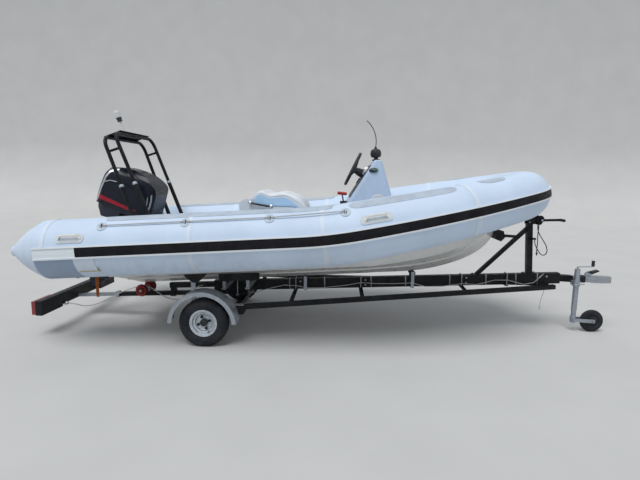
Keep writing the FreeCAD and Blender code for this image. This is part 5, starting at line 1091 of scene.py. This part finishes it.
def dress_gauges():
    """Bright bezels, dark faces, and white ticks and needles of the dash's gauges."""
    bezels, faces, marks = bmesh.new(), bmesh.new(), bmesh.new()
    for y in GAUGE_Y:
        place = console_matrix(0.330, y, 0.0)
        add_turned(bezels, [(0.036, 0.0195), (0.0385, 0.0225), (0.0432, 0.0225), (0.0445, 0.019),
                            (0.0445, 0.0075), (0.036, 0.0075)], place, 40)
        add_turned(faces, disc(0.0365, 0.0206, 0.0202), place, 32)
        for k in range(11):
            turn = Matrix.Rotation(math.radians(-220 + 26 * k), 4, "Z")
            add_plate(marks, bar(0.004, 0.0006), 0.0006,
                      place @ turn @ Matrix.Translation((0.029, 0, 0.0208)))
        needle = place @ Matrix.Rotation(math.radians(200 + 60 * y), 4, "Z")
        add_plate(marks, [(-0.006, -0.0012), (0.026, -0.0004), (0.026, 0.0004), (-0.006, 0.0012)],
                  0.0008, raised(needle, 0.0212))
    keep("gauge_bezels", bezels, "cable_steel", CHROME)
    keep("gauge_faces", faces, "lamp_body")
    keep("gauge_marks", marks, "light_white")


def dress_hatch():
    """Screws of the dash and the hatch, and the hatch's ribs and rims."""
    screws = bmesh.new()
    dash = console_matrix(0.2175, 0, 0.0063)
    for x in (-0.165, 0.165):
        for y in (-0.180, 0.180):
            add_hex_bolt(screws, dash @ Vector((y, x, 0)), dash.to_3x3() @ UP, 0.0045)
    out = -PORT_AXIS
    for spot in circle_points(on_boat(HATCH_X, -0.3135, HATCH_Z) - out * 0.0024, out, 0.065, 6):
        add_hex_bolt(screws, spot, out, 0.0040)
    keep("console_screws", screws, "cable_steel", CHROME)
    hatch = bmesh.new()
    place = facing(on_boat(HATCH_X, CONSOLE_SIDE, HATCH_Z), out)
    add_turned(hatch, [(0.050, 0.0), (0.052, 0.0035), (0.056, 0.0035), (0.057, 0.0)], place, 40)
    for turn in (0, math.pi / 2):
        add_plate(hatch, bar(0.038, 0.005), 0.005, place @ Matrix.Rotation(turn + 0.5, 4, "Z"), 0.0015)
    add_turned(hatch, disc(0.0503, 0.0008, 0.0002), place, 40)
    add_turned(hatch, [(0.0584, 0.0002), (0.0584, 0.0010), (0.0724, 0.0010), (0.0728, 0.0006),
                       (0.0728, -0.0070), (0.0722, -0.0070), (0.0722, 0.0002), (0.0584, 0.0002)],
               facing(on_boat(HATCH_X, -0.3100, HATCH_Z), out), 48)
    keep("hatch_ribs", hatch, "light_white")


def dress_throttle():
    """Red grip over the lever's bar, with a collar at each end."""
    bm = bmesh.new()
    start, end = on_boat(1.1125, -0.230, 1.2046), on_boat(1.1915, -0.230, 1.1915)
    length = (end - start).length
    profile = [(0.0, -0.0015), (0.0115, -0.0015), (0.0140, 0.002)]
    for k in range(8):
        height = 0.006 + k * (length - 0.012) / 8
        profile += [(0.0142, height), (0.0122, height + 0.0028), (0.0142, height + 0.0056)]
    profile += [(0.0140, length - 0.001), (0.0115, length + 0.0025), (0.0, length + 0.0025)]
    add_turned(bm, profile, facing(start, end - start), 24)
    keep("throttle_grip", bm, "lens_red", RED_GRIP)


def make_side_lens(side, slot, finish, label):
    """Domed strip of a side light's lens on the console's leaning flank."""
    bm = bmesh.new()
    bmesh.ops.create_uvsphere(bm, u_segments=32, v_segments=20, radius=1.0)
    cut = [face for face in bm.faces if not 0.02 <= face.calc_center_median().x <= 0.90]
    bmesh.ops.delete(bm, geom=cut, context="FACES")
    bmesh.ops.solidify(bm, geom=bm.faces[:], thickness=0.03)
    height = 1.388
    flank_y = 0.300 - (height - 1.118) * 0.2443
    shape = Matrix.Diagonal((0.0432, 0.0272, 0.0190, 1))
    place = BOAT @ Matrix.Translation((1.440, side * flank_y, height)) @ shape
    bmesh.ops.transform(bm, matrix=place, verts=bm.verts)
    keep("side_lens_" + label, bm, slot, finish)


def dress_lights():
    """Lenses of the side lights, the stern light's black collar and its clear head."""
    make_side_lens(STARBOARD, "lamp_body", GREEN_LENS, "green")
    make_side_lens(PORT, "lens_red", RED_LENS, "red")
    hoop_aft, hoop_fore = [Vector((x, 0, z)) for x, z in ARCH_TOPS]
    along = (hoop_fore - hoop_aft).normalized()
    normal = along.cross(PORT_AXIS)
    place = facing(BOAT @ (hoop_aft + along * 0.032 + normal * 0.0223), BOAT_TURN @ normal)
    collar = bmesh.new()
    add_turned(collar, [(0.0100, 0.148), (0.0218, 0.1505), (0.0232, 0.158), (0.0218, 0.1655),
                        (0.0232, 0.173), (0.0262, 0.1785), (0.0262, 0.1865), (0.0100, 0.1865)],
               place, 36)
    add_turned(collar, [(0.0115, -0.0001), (0.0345, -0.0001), (0.0345, 0.0035), (0.0275, 0.0055),
                        (0.0275, 0.010), (0.0115, 0.010)], place, 36)
    keep("stern_light_collar", collar, "lamp_body")
    head = bmesh.new()
    profile = [(0.0240, 0.1868)]
    for k in range(7):
        height = 0.192 + k * 0.0068
        profile += [(0.0257, height), (0.0266, height + 0.0034)]
    profile += [(0.0257, 0.2405), (0.0225, 0.2475), (0.0120, 0.2526), (0.0, 0.2530)]
    add_turned(head, profile, place, 36)
    keep("stern_light_head", head, "light_white", CLEAR_LENS)


def dress_seat_bars():
    """Bright feet on the ends of the seat's grab bars."""
    bm = bmesh.new()
    for side in SIDES:
        for x, z in ((0.330, 1.1568), (0.515, 1.1152)):
            place = facing(on_boat(x, side * 0.2905, z), PORT_AXIS * side)
            add_turned(bm, [(0.0, 0.0), (0.0155, 0.0), (0.0150, 0.003), (0.0105, 0.006),
                            (0.0105, 0.029), (0.0, 0.031)], place, 24)
    keep("seat_bar_feet", bm, "cable_steel", CHROME)


def dress_helm():
    """Cap over the steering wheel's hub and a moulded grip line round its rim."""
    centre = Vector((1.2647, 0, 1.412))
    axis = Vector((-math.cos(WHEEL_RAKE), 0, math.sin(WHEEL_RAKE)))
    bm = bmesh.new()
    place = BOAT @ facing(centre - axis * 0.0152, axis)
    add_turned(bm, [(0.0, 0.0), (0.0285, 0.0), (0.0290, 0.003), (0.0240, 0.009), (0.0, 0.0125)],
               place, 32)
    turn = place.to_3x3()
    for x, y in circle(WHEEL_R, 48):
        ring = circle_points(place @ Vector((x, y, 0.0152)), turn @ Vector((-y, x, 0)), 0.0131, 12)
        add_tube(bm, ring, 0.0007, 4, closed=True)
    keep("wheel_grip_lines", bm, "black_plastic", body="helm")


def dress_mast():
    """Bolts and cross pins of the antenna's ratchet foot."""
    bm = bmesh.new()
    place = BOAT @ Matrix.Translation((1.484, 0, 1.478))
    for x, y in circle(0.029, 4, math.pi / 4):
        add_hex_bolt(bm, place @ Vector((x, y, 0.0102)), BOAT_TURN @ UP, 0.0045, washer=False)
    for start, end, radius, sides in (((0.0, -0.030, 0.060), (0.0, -0.062, 0.060), 0.006, 10),
                                      ((0.0, -0.058, 0.044), (0.0, -0.058, 0.078), 0.005, 8)):
        add_rod(bm, place @ Vector(start), place @ Vector(end), radius, sides)
    keep("mast_foot_fixings", bm, "lamp_body")



def dress_arch():
    """Ferrules where the thin tubes enter the thick ones, and flange bolts."""
    bm, bolts = bmesh.new(), bmesh.new()
    for (foot_x, foot_z), (top_x, top_z) in zip(ARCH_FEET, ARCH_TOPS):
        for side in SIDES:
            low = Vector((foot_x, side * ARCH_Y, foot_z))
            along = Vector((top_x, side * ARCH_Y, top_z)) - low
            add_turned(bm, [(0.0162, -0.012), (0.0212, -0.012), (0.0216, -0.002), (0.0205, 0.006),
                            (0.0162, 0.012)], BOAT @ facing(low + along * 0.600, along), 24)
            for x, y in circle(0.034, 4, math.pi / 4):
                spot = on_boat(foot_x + x, side * ARCH_Y + y, foot_z + 0.0082)
                add_hex_bolt(bolts, spot, BOAT_TURN @ UP, 0.0055)
    keep("arch_ferrules", bm, "galvanised")
    keep("arch_flange_bolts", bolts, "cable_steel", CHROME)


# The motor

FILM_THICK, FILM_LIFT = 0.0012, 0.0003
STRIPE_CORNERS = ((-0.361, 0.170), (0.030, 0.112), (0.000, 0.090), (-0.365, 0.128))
# Silver lines on the cowl: the path of each in (x, z) of the upright motor, and its width.
SILVER_LINES = (
    ([(-0.360, 0.100), (-0.351, 0.150), (-0.340, 0.220), (-0.328, 0.285), (-0.314, 0.342),
      (-0.294, 0.390), (-0.264, 0.420), (-0.225, 0.434)], 0.017),
    ([(-0.350, 0.195), (-0.342, 0.245), (-0.318, 0.292), (-0.270, 0.318), (-0.205, 0.322)], 0.008),
    ([(0.132, 0.292), (0.139, 0.240), (0.138, 0.180), (0.128, 0.115)], 0.011),
    ([(0.104, 0.262), (0.112, 0.200), (0.104, 0.130)], 0.006))
# Port half of the cowl's outline at its joint, from the front.
COWL_PLAN = [(0.160, 0.128), (0.146, 0.164), (0.098, 0.182), (-0.220, 0.190), (-0.297, 0.190),
             (-0.363, 0.160), (-0.387, 0.080)]
COWL_FILM_Y = 0.19
PROPELLER_NUT = (-0.4942, 0, -0.634)


def patch_rows(corners, y, along, across):
    """Even grid of points between four (x, z) corners, given round the patch, all at one y."""
    a, b, c, d = [Vector((x, y, z)) for x, z in corners]
    return [[a.lerp(b, i / along).lerp(d.lerp(c, i / along), j / across)
             for j in range(across + 1)] for i in range(along + 1)]


def path_rows(path, y, width):
    """Band three points wide along a path of (x, z) places, all at one y."""
    smooth = []
    for (x0, z0), (x1, z1) in zip(path, path[1:]):
        smooth += [(x0 + (x1 - x0) * k / 4, z0 + (z1 - z0) * k / 4) for k in range(4)]
    smooth.append(path[-1])
    rows = []
    for i, (x, z) in enumerate(smooth):
        x0, z0 = smooth[max(i - 1, 0)]
        x1, z1 = smooth[min(i + 1, len(smooth) - 1)]
        square = Vector((z0 - z1, 0, x1 - x0)).normalized() * width
        rows.append([Vector((x, y, z)) + square * share for share in (-0.5, 0, 0.5)])
    return rows


def cowl_film(name, patches, side, slot, finish):
    """Thin films dropped onto a flank of the cowl, from places in the upright motor's frame."""
    bm = bmesh.new()
    skin = skin_of("cowl")
    towards = PORT_AXIS * -side
    for rows in patches:
        landed = []
        for row in rows:
            points = [MOTOR @ point for point in row]
            spots = [skin.ray_cast(point - towards * 0.4, towards)[0] or skin.find_nearest(point)[0]
                     for point in points]
            landed.append([spot - towards * (FILM_LIFT + FILM_THICK) for spot in spots])
        add_grid(bm, landed)
    bm.normal_update()
    wrong = [face for face in bm.faces if face.normal.dot(towards) > 0]
    bmesh.ops.reverse_faces(bm, faces=wrong)
    bmesh.ops.solidify(bm, geom=bm.faces[:], thickness=FILM_THICK)
    keep(name, bm, slot, finish, "motor_steer")


def dress_cowl():
    """The cowl's red stripe and silver lines, and the seal along its joint."""
    for side, label in ((STARBOARD, "near"), (PORT, "far")):
        y = side * COWL_FILM_Y
        stripe = patch_rows(STRIPE_CORNERS, y, 26, 4)
        cowl_film("cowl_stripe_" + label, [stripe], side, "lens_red", RED_STRIPE)
        lines = [path_rows(path, y, width) for path, width in SILVER_LINES]
        cowl_film("cowl_silver_" + label, lines, side, "cable_steel", SILVER_TRIM)
    mirrored = [(x, -y) for x, y in reversed(COWL_PLAN)]
    plan = mirrored[-1:] + COWL_PLAN + mirrored[:-1]
    bm = bmesh.new()
    joint = [on_motor(x * 0.985 - 0.002, y * 0.985, 0.0866) for x, y in plan]
    add_tube(bm, joint, 0.0045, 6, closed=True)
    keep("cowl_joint_seal", bm, "black_plastic", body="motor_steer")


def dress_motor():
    """Bolts of the motor's leg and clamp, and the propeller's nut."""
    leg, clamp, nut = bmesh.new(), bmesh.new(), bmesh.new()
    skin = skin_of("outboard_leg")
    tilt_x, tilt_z = TILT_AXIS.x, TILT_AXIS.z
    for side in SIDES:
        out = PORT_AXIS * side
        for x, z in ((-0.205, -0.055), (-0.255, -0.055), (-0.200, -0.300), (-0.262, -0.300)):
            hit = skin.ray_cast(on_motor(x, side * 0.4, z), -out)[0]
            if hit:
                add_hex_bolt(leg, hit + out * 0.0002, out, 0.0075)
        for x, z in ((0.030, -0.130), (0.016, -0.090), (-0.045, -0.150), (-0.045, -0.230)):
            add_hex_bolt(clamp, on_boat(tilt_x + x, side * 0.1152, tilt_z + z), out, 0.0080)
        add_plate(clamp, circle(0.019, 6), 0.012, facing(on_boat(tilt_x, side * 0.1213, tilt_z), out),
                  0.0015)
    keep("leg_bolts", leg, "cable_steel", body="motor_steer")
    keep("clamp_bolts", clamp, "galvanised")
    place = facing(on_motor(*PROPELLER_NUT), MOTOR.to_3x3() @ -FORE)
    add_turned(nut, disc(0.019, 0.003), place, 24)
    add_plate(nut, circle(0.014, 6), 0.010, raised(place, 0.002), 0.001)
    keep("propeller_nut", nut, "cable_steel", CHROME, "motor_propeller")


# Road wheels, rollers and jockey wheel

TRACK_Y = 0.700
TREAD_R = 0.2035
GROOVE_R = TREAD_R - 0.0052
BEAD_Y, TYRE_Y = 0.0377, 0.054
# Starboard half of the tyre's section, as (radius, distance across), from the bead outwards.
TYRE_HALF = [(0.1023, -BEAD_Y), (0.1165, -BEAD_Y), (0.1215, -0.0455), (0.1245, -0.0480),
             (0.1275, -0.0480), (0.1290, -0.0495), (0.1420, -0.0525), (0.1500, -TYRE_Y),
             (0.1530, -TYRE_Y - 0.0006), (0.1560, -TYRE_Y), (0.1700, -0.0528),
             (0.1725, -0.0535), (0.1750, -0.0522), (0.1860, -0.0470), (0.1930, -0.0415),
             (GROOVE_R - 0.001, -0.0375)]
# Rings of tread blocks: from and to across the wheel, and by what share of a step it is turned.
TREAD_RINGS = ((-0.0375, -0.0275, 0.0), (-0.0215, -0.0035, 0.5), (0.0035, 0.0215, 0.0),
               (0.0275, 0.0375, 0.5))
TREAD_BLOCKS, BLOCK_SHARE, BLOCK_DEPTH = 64, 0.86, 0.0062
SHOULDER_LINES = 48
STUD_CIRCLE_R = 0.050
# Place of the port stern roller's middle; the starboard one mirrors it.
STERN_ROLLER = (-0.800, 0.100, 0.297)
JOCKEY_Y = -0.088
JOCKEY_R = 0.105
COUPLING_Z = 0.488


def tread_block_ring(bm, centre, y0, y1, radius, shift):
    """Ring of tread blocks between two planes across the wheel."""
    for k in range(TREAD_BLOCKS):
        low, high = [math.tau * (k + shift + share) / TREAD_BLOCKS for share in (0, BLOCK_SHARE)]
        corners = []
        for r, inset in ((radius - BLOCK_DEPTH, 0.0), (radius, 0.0012)):
            places = ((low + inset * 3, y0 + inset), (high - inset * 3, y0 + inset),
                      (high - inset * 3, y1 - inset), (low + inset * 3, y1 - inset))
            corners.append([bm.verts.new(centre + Vector((r * math.cos(a), y, r * math.sin(a))))
                            for a, y in places])
        inner, outer = corners
        bm.faces.new(outer)
        bm.faces.new(inner[::-1])
        join_rings(bm, inner, outer)


def make_tyre(centre, label):
    """Tyre with ribbed flanks, grooves, tread blocks and lines over its shoulders."""
    bm = bmesh.new()
    section = TYRE_HALF + [(GROOVE_R, y) for y in (-0.030, -0.012, 0.012, 0.030)]
    section += [(radius, -y) for radius, y in reversed(TYRE_HALF)]
    add_turned(bm, section + section[:1], facing(centre, PORT_AXIS), 96)
    for y0, y1, shift in TREAD_RINGS:
        tread_block_ring(bm, centre, y0, y1, TREAD_R - abs(y0 + y1) / 80, shift)
    for y in SIDES:
        for k in range(SHOULDER_LINES):
            turn = Matrix.Rotation(-math.tau * k / SHOULDER_LINES, 4, "Y")
            spoke = Matrix.Translation(centre) @ turn
            add_rod(bm, spoke @ Vector((0.1875, y * 0.0452, 0)),
                    spoke @ Vector((0.1955, y * 0.0385, 0)), 0.0016, 4)
    tyre = keep("tyre_tread_" + label, bm, "tyre_rubber", body="wheel_" + label)
    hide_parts("tyre_" + label)


def on_rim(centre, side, degrees, radius, out):
    """Place on a rim's outer face, with +Z out of it."""
    a = math.radians(degrees)
    spot = centre + Vector((radius * math.cos(a), side * out, radius * math.sin(a)))
    return facing(spot, PORT_AXIS * side)


def dress_rim(centre, side, label):
    """Wheel nuts, a black cap over the hub, and the valve."""
    nuts, cap, valve = bmesh.new(), bmesh.new(), bmesh.new()
    for k in range(4):
        place = on_rim(centre, side, 20 + 90 * k, STUD_CIRCLE_R, 0.0182)
        add_turned(nuts, [(0.0, 0.0), (0.0125, 0.0), (0.0105, 0.003), (0.0, 0.003)], place, 20)
        add_plate(nuts, circle(0.0098, 6), 0.009, raised(place, 0.002), 0.0012)
        add_turned(nuts, [(0.0, 0.0), (0.0055, 0.0), (0.0050, 0.005), (0.0, 0.005)],
                   raised(place, 0.010), 12)
    keep("wheel_nuts_" + label, nuts, "frame_black", body="wheel_" + label)
    out = PORT_AXIS * side
    add_turned(cap, [(0.0250, 0.0030), (0.0316, 0.0030), (0.0316, 0.0245), (0.0300, 0.0290),
                     (0.0260, 0.0335), (0.0120, 0.0345), (0.0, 0.0346)],
               facing(centre + out * 0.0005, out), 36)
    keep("hub_cap_" + label, cap, "black_plastic", body="wheel_" + label)
    add_turned(valve, [(0.0, 0.0), (0.0042, 0.0), (0.0042, 0.010), (0.0030, 0.011),
                       (0.0030, 0.020), (0.0, 0.021)], on_rim(centre, side, -62, 0.0835, 0.0235), 14)
    keep("tyre_valve_" + label, valve, "black_plastic", body="wheel_" + label)


def dress_road_wheels():
    for side, label in ((STARBOARD, "starboard"), (PORT, "port")):
        centre = Vector((joint_place("road_wheel_" + label).x, side * TRACK_Y, TREAD_R))
        make_tyre(centre, label)
        dress_rim(centre, side, label)


def dress_stern_rollers():
    """Red spoked hub discs in the stern rollers."""
    bm = bmesh.new()
    x, y, z = STERN_ROLLER
    for side in SIDES:
        for face in SIDES:
            out = PORT_AXIS * face
            place = facing(on_trailer(x, side * y, z) + out * 0.0162, out)
            add_turned(bm, [(0.0102, -0.0004), (0.0515, -0.0004), (0.0515, 0.003), (0.048, 0.0052),
                            (0.044, 0.0030), (0.042, 0.0006), (0.0102, 0.0006)], place, 40)
            add_turned(bm, [(0.0102, 0.0), (0.022, 0.0), (0.020, 0.0080), (0.0102, 0.0080)], place)
            for k in range(6):
                spoke = place @ Matrix.Rotation(math.tau * k / 6, 4, "Z")
                add_plate(bm, [(0.018, -0.0045), (0.046, -0.006), (0.046, 0.006), (0.018, 0.0045)],
                          0.0032, spoke, 0.0008)
    keep("stern_roller_hubs", bm, "lens_red", RED_GRIP)


def dress_jockey():
    """Tread ribs and axle nuts of the jockey wheel, and its clamp's screw."""
    ribs, nuts, screw = bmesh.new(), bmesh.new(), bmesh.new()
    x = joint_place("jockey_wheel_spin").x
    for y in (-0.014, 0.0, 0.014):
        radius = JOCKEY_R - 0.012 * (y / 0.023) ** 2 - 0.0008
        add_tube(ribs, circle_points((x, JOCKEY_Y + y, JOCKEY_R), PORT_AXIS, radius, 56), 0.0011, 6,
                 closed=True)
    keep("jockey_tread_ribs", ribs, "tyre_rubber", body="jockey_roller")
    for side in SIDES:
        add_hex_bolt(nuts, (x, JOCKEY_Y + side * 0.0383, JOCKEY_R), (0, side, 0), 0.010)
    keep("jockey_axle_nuts", nuts, "galvanised", body="jockey_caster")
    centre = on_trailer(3.335, JOCKEY_Y, 0.461)
    place = facing(centre - PORT_AXIS * 0.0330, -PORT_AXIS)
    add_turned(screw, [(0.0, 0.0), (0.012, 0.0), (0.012, 0.010), (0.006, 0.012), (0.006, 0.024),
                       (0.0, 0.024)], place, 20)
    bar_middle, bar_end = centre - PORT_AXIS * 0.052, Vector((0.045, 0, 0.006))
    add_rod(screw, bar_middle - bar_end, bar_middle + bar_end, 0.0055, 10)
    keep("jockey_clamp_screw", screw, "galvanised")


def dress_coupling():
    """Black knob on the jockey wheel's crank, the coupling's ribbed boot and its lever's grip."""
    bm = bmesh.new()
    knob = facing(on_trailer(3.471, JOCKEY_Y, 0.6275), UP)
    add_turned(bm, [(0.0105, 0.0), (0.0135, 0.001), (0.0150, 0.012), (0.0130, 0.028), (0.0150, 0.044),
                    (0.0135, 0.0505), (0.0, 0.0525)], knob, 24)
    for k in range(5):
        ring = [on_trailer(3.399 + 0.0102 * k, 0.0365 * y, COUPLING_Z + 0.0285 * z)
                for y, z in squared(6, 24, math.pi / 24)]
        add_tube(bm, ring, 0.0052, 8, closed=True)
    upright = TRAILER @ Matrix.Translation((0, 0.016, 0)) @ Matrix.Rotation(math.pi / 2, 4, "X")
    add_plate(bm, [(3.4700, 0.5520), (3.5600, 0.5785), (3.5825, 0.5640), (3.5150, 0.5330)], 0.032,
              upright, 0.003)
    keep("coupling_boot_and_grips", bm, "black_plastic")


# The trailer's fastenings

SPINE_RISE = math.radians(2.6)
SPINE_Z = 0.348
TIE_X = (0.640, 0.980, 1.430, 1.760, 2.180, 2.520, 2.800, 3.000)
TIE_RING = [(0.0312, -0.0515), (0.0312, 0.0515), (-0.0317, 0.0515), (-0.0317, -0.0515)]
AXLE_BEAM_X = 0.190
CROSS_STATIONS = (0.700, 1.330, 2.290)
STRUT_LOW_X = 2.435
POST_X = 2.912
# Bolts on the spine: places along it, distance across, height over its middle, head size.
SPINE_SIDE_BOLTS = [(x + 0.045, 0.0302, height, 0.0075) for x in CROSS_STATIONS
                    for height in (-0.024, 0.024)]
SPINE_SIDE_BOLTS += [(x, 0.0302, 0.020, 0.009) for x in (3.025, 3.085)]
SPINE_TOP_BOLTS = [(STRUT_LOW_X + step, 0.021, 0.0562, 0.007) for step in (-0.030, 0.030)]
SPINE_TOP_BOLTS += [(POST_X + step, 0.020, 0.0562, 0.007) for step in (-0.028, 0.068)]
FENDER_R, FENDER_Z = 0.2842, 0.196
WINCH_X, WINCH_Z = 2.924, 1.005
DRUM_X, DRUM_Z = WINCH_X + 0.026, WINCH_Z + 0.044
DRUM_TURNS, DRUM_STEPS, DRUM_ROPE_R, DRUM_LENGTH = 7, 24, 0.0345, 0.0530


def spine_height(x, offset=0.0):
    """Height of the rising spine's middle over the ground, or of a line parallel to it."""
    return SPINE_Z + x * math.tan(SPINE_RISE) + offset / math.cos(SPINE_RISE)


def trailer_bolts():
    """Bolt heads on the frame's joints and the fenders."""
    frame_bolts, fender_bolts = bmesh.new(), bmesh.new()
    for side in SIDES:
        out = (0, side, 0)
        for bolts, direction in ((SPINE_SIDE_BOLTS, out), (SPINE_TOP_BOLTS, UP)):
            for x, y, offset, size in bolts:
                spot = on_trailer(x, side * y, spine_height(x, offset))
                add_hex_bolt(frame_bolts, spot, direction, size)
        for x in (3.372, 3.470):
            add_hex_bolt(frame_bolts, on_trailer(x, side * 0.0342, COUPLING_Z), out, 0.010)
        for x in (AXLE_BEAM_X - 0.026, AXLE_BEAM_X + 0.026):
            add_hex_bolt(frame_bolts, on_trailer(x, side * 0.300, 0.2490), UP, 0.008)
        for x in (0.255, 0.298):
            add_hex_bolt(fender_bolts, on_trailer(x, side * 0.632, 0.3422), UP, 0.0075)
        for degrees in (62, 118):
            a = math.radians(degrees)
            outward = Vector((math.cos(a), 0, math.sin(a)))
            spot = TRAILER @ (Vector((0, side * 0.725, FENDER_Z)) + outward * FENDER_R)
            add_hex_bolt(fender_bolts, spot, outward, 0.0065)
    keep("frame_bolts", frame_bolts, "galvanised")
    keep("fender_bolts", fender_bolts, "galvanised")


def dress_winch():
    """Toothed ratchet, turns of rope on the drum, and the crank's nut."""
    bm, rope = bmesh.new(), bmesh.new()
    teeth = []
    for tip, root in zip(circle(0.030, 18), circle(0.0245, 18, 0.05)):
        teeth += [tip, root]
    add_plate(bm, teeth, 0.005, facing(on_trailer(DRUM_X, 0.0405, DRUM_Z), PORT_AXIS))
    bolts = [(DRUM_X, 0.0458, DRUM_Z, PORT, 0.010),
             (WINCH_X + 0.056, -0.0742, WINCH_Z + 0.040, STARBOARD, 0.010)]
    bolts += [(WINCH_X + dx, side * 0.0402, WINCH_Z + 0.018, side, 0.006)
              for dx in (-0.040, 0.052) for side in SIDES]
    for x, y, z, side, size in bolts:
        add_hex_bolt(bm, on_trailer(x, y, z), (0, side, 0), size)
    keep("winch_ratchet", bm, "galvanised")
    steps = DRUM_TURNS * DRUM_STEPS
    turns = []
    for k in range(steps + 1):
        a = math.tau * k / DRUM_STEPS
        turns.append(on_trailer(DRUM_X + DRUM_ROPE_R * math.cos(a),
                                DRUM_LENGTH * (k / steps - 0.5), DRUM_Z + DRUM_ROPE_R * math.sin(a)))
    add_tube(rope, turns, 0.0038, 6)
    keep("winch_rope_turns", rope, "rope_black")


def wiring_ties():
    """Bands that hold the wiring to the spine."""
    bm = bmesh.new()
    slope = math.tan(SPINE_RISE)
    around = []
    for (y0, z0), (y1, z1) in zip(TIE_RING, TIE_RING[1:] + TIE_RING[:1]):
        around += [(y0 + (y1 - y0) * share, z0 + (z1 - z0) * share)
                   for share in (0.02, 0.35, 0.65, 0.98)]
    for x in TIE_X:
        for dx in (-0.004, -0.0013, 0.0013, 0.004):
            ring = [on_trailer(x - z * slope + dx, y, spine_height(x) + z) for y, z in around]
            add_tube(bm, ring, 0.0010, 5, closed=True)
    keep("wiring_ties", bm, "cable_steel", SILVER_TRIM)


# Light board, hanging strap and small pieces at the tail

LENS_FACE_X, LENS_BACK_X = -1.5435, -1.5395
LENS_LOW, LENS_HIGH = 0.196, 0.314
LENS_EDGE = 0.010
LENS_SPANS = ((0.3815, 0.4580), (0.4600, 0.5380), (0.5400, 0.6165))
LENS_RIBS = 9
STRAP_WIDTH = 0.0250
STRAP_ROWS, STRAP_COLUMNS = 30, 6


def dress_light_board():
    """Ribbed lenses and screws of the light board, and the number plate lamp's shell."""
    lens, screws, ends, shell = bmesh.new(), bmesh.new(), bmesh.new(), bmesh.new()
    rib_x = LENS_FACE_X - 0.0001
    rib_step = (LENS_HIGH - LENS_LOW - 2 * LENS_EDGE) / (LENS_RIBS - 1)
    for side in SIDES:
        for span in LENS_SPANS:
            y0, y1 = sorted(side * y for y in span)
            add_block(lens, on_trailer(LENS_FACE_X, y0, LENS_LOW + 0.001),
                      on_trailer(LENS_BACK_X, y1, LENS_HIGH - 0.001), 0.0018)
            for k in range(LENS_RIBS):
                z = LENS_LOW + LENS_EDGE + k * rib_step
                add_rod(lens, on_trailer(rib_x, y0 + 0.006, z), on_trailer(rib_x, y1 - 0.006, z),
                        0.0014, 5)
        for z in (LENS_LOW + LENS_EDGE, LENS_HIGH - LENS_EDGE):
            for y in (0.4590, 0.5390):
                spot = on_trailer(LENS_FACE_X - 0.0005, side * y, z)
                add_hex_bolt(screws, spot, -FORE, 0.0038)
        for x in (-1.494, -1.464):
            add_hex_bolt(ends, on_trailer(x, side * 0.6202, 0.254), (0, side, 0), 0.005)
    keep("lamp_lens_faces", lens, "lens_red")
    keep("board_screws", screws, "cable_steel")
    keep("board_end_screws", ends, "board_black")
    add_turned(shell, [(0.0060, 0.0695), (0.0155, 0.0630), (0.0185, 0.0520), (0.0190, 0.030),
                       (0.0185, 0.006), (0.0205, 0.004), (0.0205, 0.0005), (0.0120, 0.0005)],
               facing(on_trailer(-1.494, -0.285, 0.208), FORE))
    keep("plate_lamp_shell", shell, "cable_steel", CHROME)


def hang_strap():
    """Webbing that hangs from the tube, a little curled towards its end."""
    low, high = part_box("hanging_strap")
    middle_x, middle_y = (low[0] + high[0]) / 2, (low[1] + high[1]) / 2
    top, bottom = high[2] - 0.004, low[2]
    rows = []
    for i in range(STRAP_ROWS + 1):
        share = i / STRAP_ROWS
        sway = 0.0012 * math.sin(share * 7.0) * share
        turn = 0.09 * math.sin(share * 4.2) * share
        place = Vector((middle_x, middle_y + sway, top + (bottom - top) * share))
        across = Vector((math.cos(turn), math.sin(turn), 0)) * STRAP_WIDTH
        rows.append([place + across * (j / STRAP_COLUMNS - 0.5) for j in range(STRAP_COLUMNS + 1)])
    bm, edge = bmesh.new(), bmesh.new()
    add_grid(bm, rows)
    thicken(bm, 0.0018)
    strap = keep("hanging_webbing", bm, "strap_orange")
    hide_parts("hanging_strap")
    for j in (0, STRAP_COLUMNS):
        add_tube(edge, [row[j] for row in rows], 0.0012, 5)
    edges = keep("webbing_edges", edge, "strap_orange")


# The studio floor

FLOOR_PROFILE = [(-9.0, 0.0), (9.0, 0.0), (10.6, 0.25), (11.8, 1.1), (12.4, 2.6), (12.5, 9.0)]
FLOOR_HALF = 16


def lay_floor():
    """Pale floor that sweeps up far behind the boat."""
    bm = bmesh.new()
    edges = add_line(bm, [(-FLOOR_HALF, y, z) for y, z in FLOOR_PROFILE])[1]
    swept = bmesh.ops.extrude_edge_only(bm, edges=edges)["geom"]
    bmesh.ops.translate(bm, vec=(2 * FLOOR_HALF, 0, 0), verts=verts_of(swept))
    bmesh.ops.recalc_face_normals(bm, faces=bm.faces[:])
    mesh = bpy.data.meshes.new("floor")
    bm.to_mesh(mesh)
    bm.free()
    for face in mesh.polygons:
        face.use_smooth = True
    f = Finish("floor_pale", (0.57, 0.57, 0.565), 0.85, spec=0.2)
    tone = f.blend(f.patches((1.5, 4), 0.3, 0.7), (0.555, 0.555, 0.55), (0.585, 0.585, 0.58))
    f.join(tone, f.shader.inputs["Base Color"])
    mesh.materials.append(f.material)
    floor = bpy.data.objects.new("floor", mesh)
    bpy.context.collection.objects.link(floor)


set_camera()
set_lights()
dress_nodes()
lay_cords()
dress_tubes()
make_handles()
dress_rings()
dress_cones()
lay_bow_lip()
add_welts(swell_cushion())
dress_gauges()
dress_hatch()
dress_throttle()
dress_lights()
dress_seat_bars()
dress_helm()
dress_mast()
dress_arch()
dress_cowl()
dress_motor()
dress_road_wheels()
dress_stern_rollers()
dress_jockey()
dress_coupling()
trailer_bolts()
dress_winch()
wiring_ties()
dress_light_board()
hang_strap()
lay_floor()
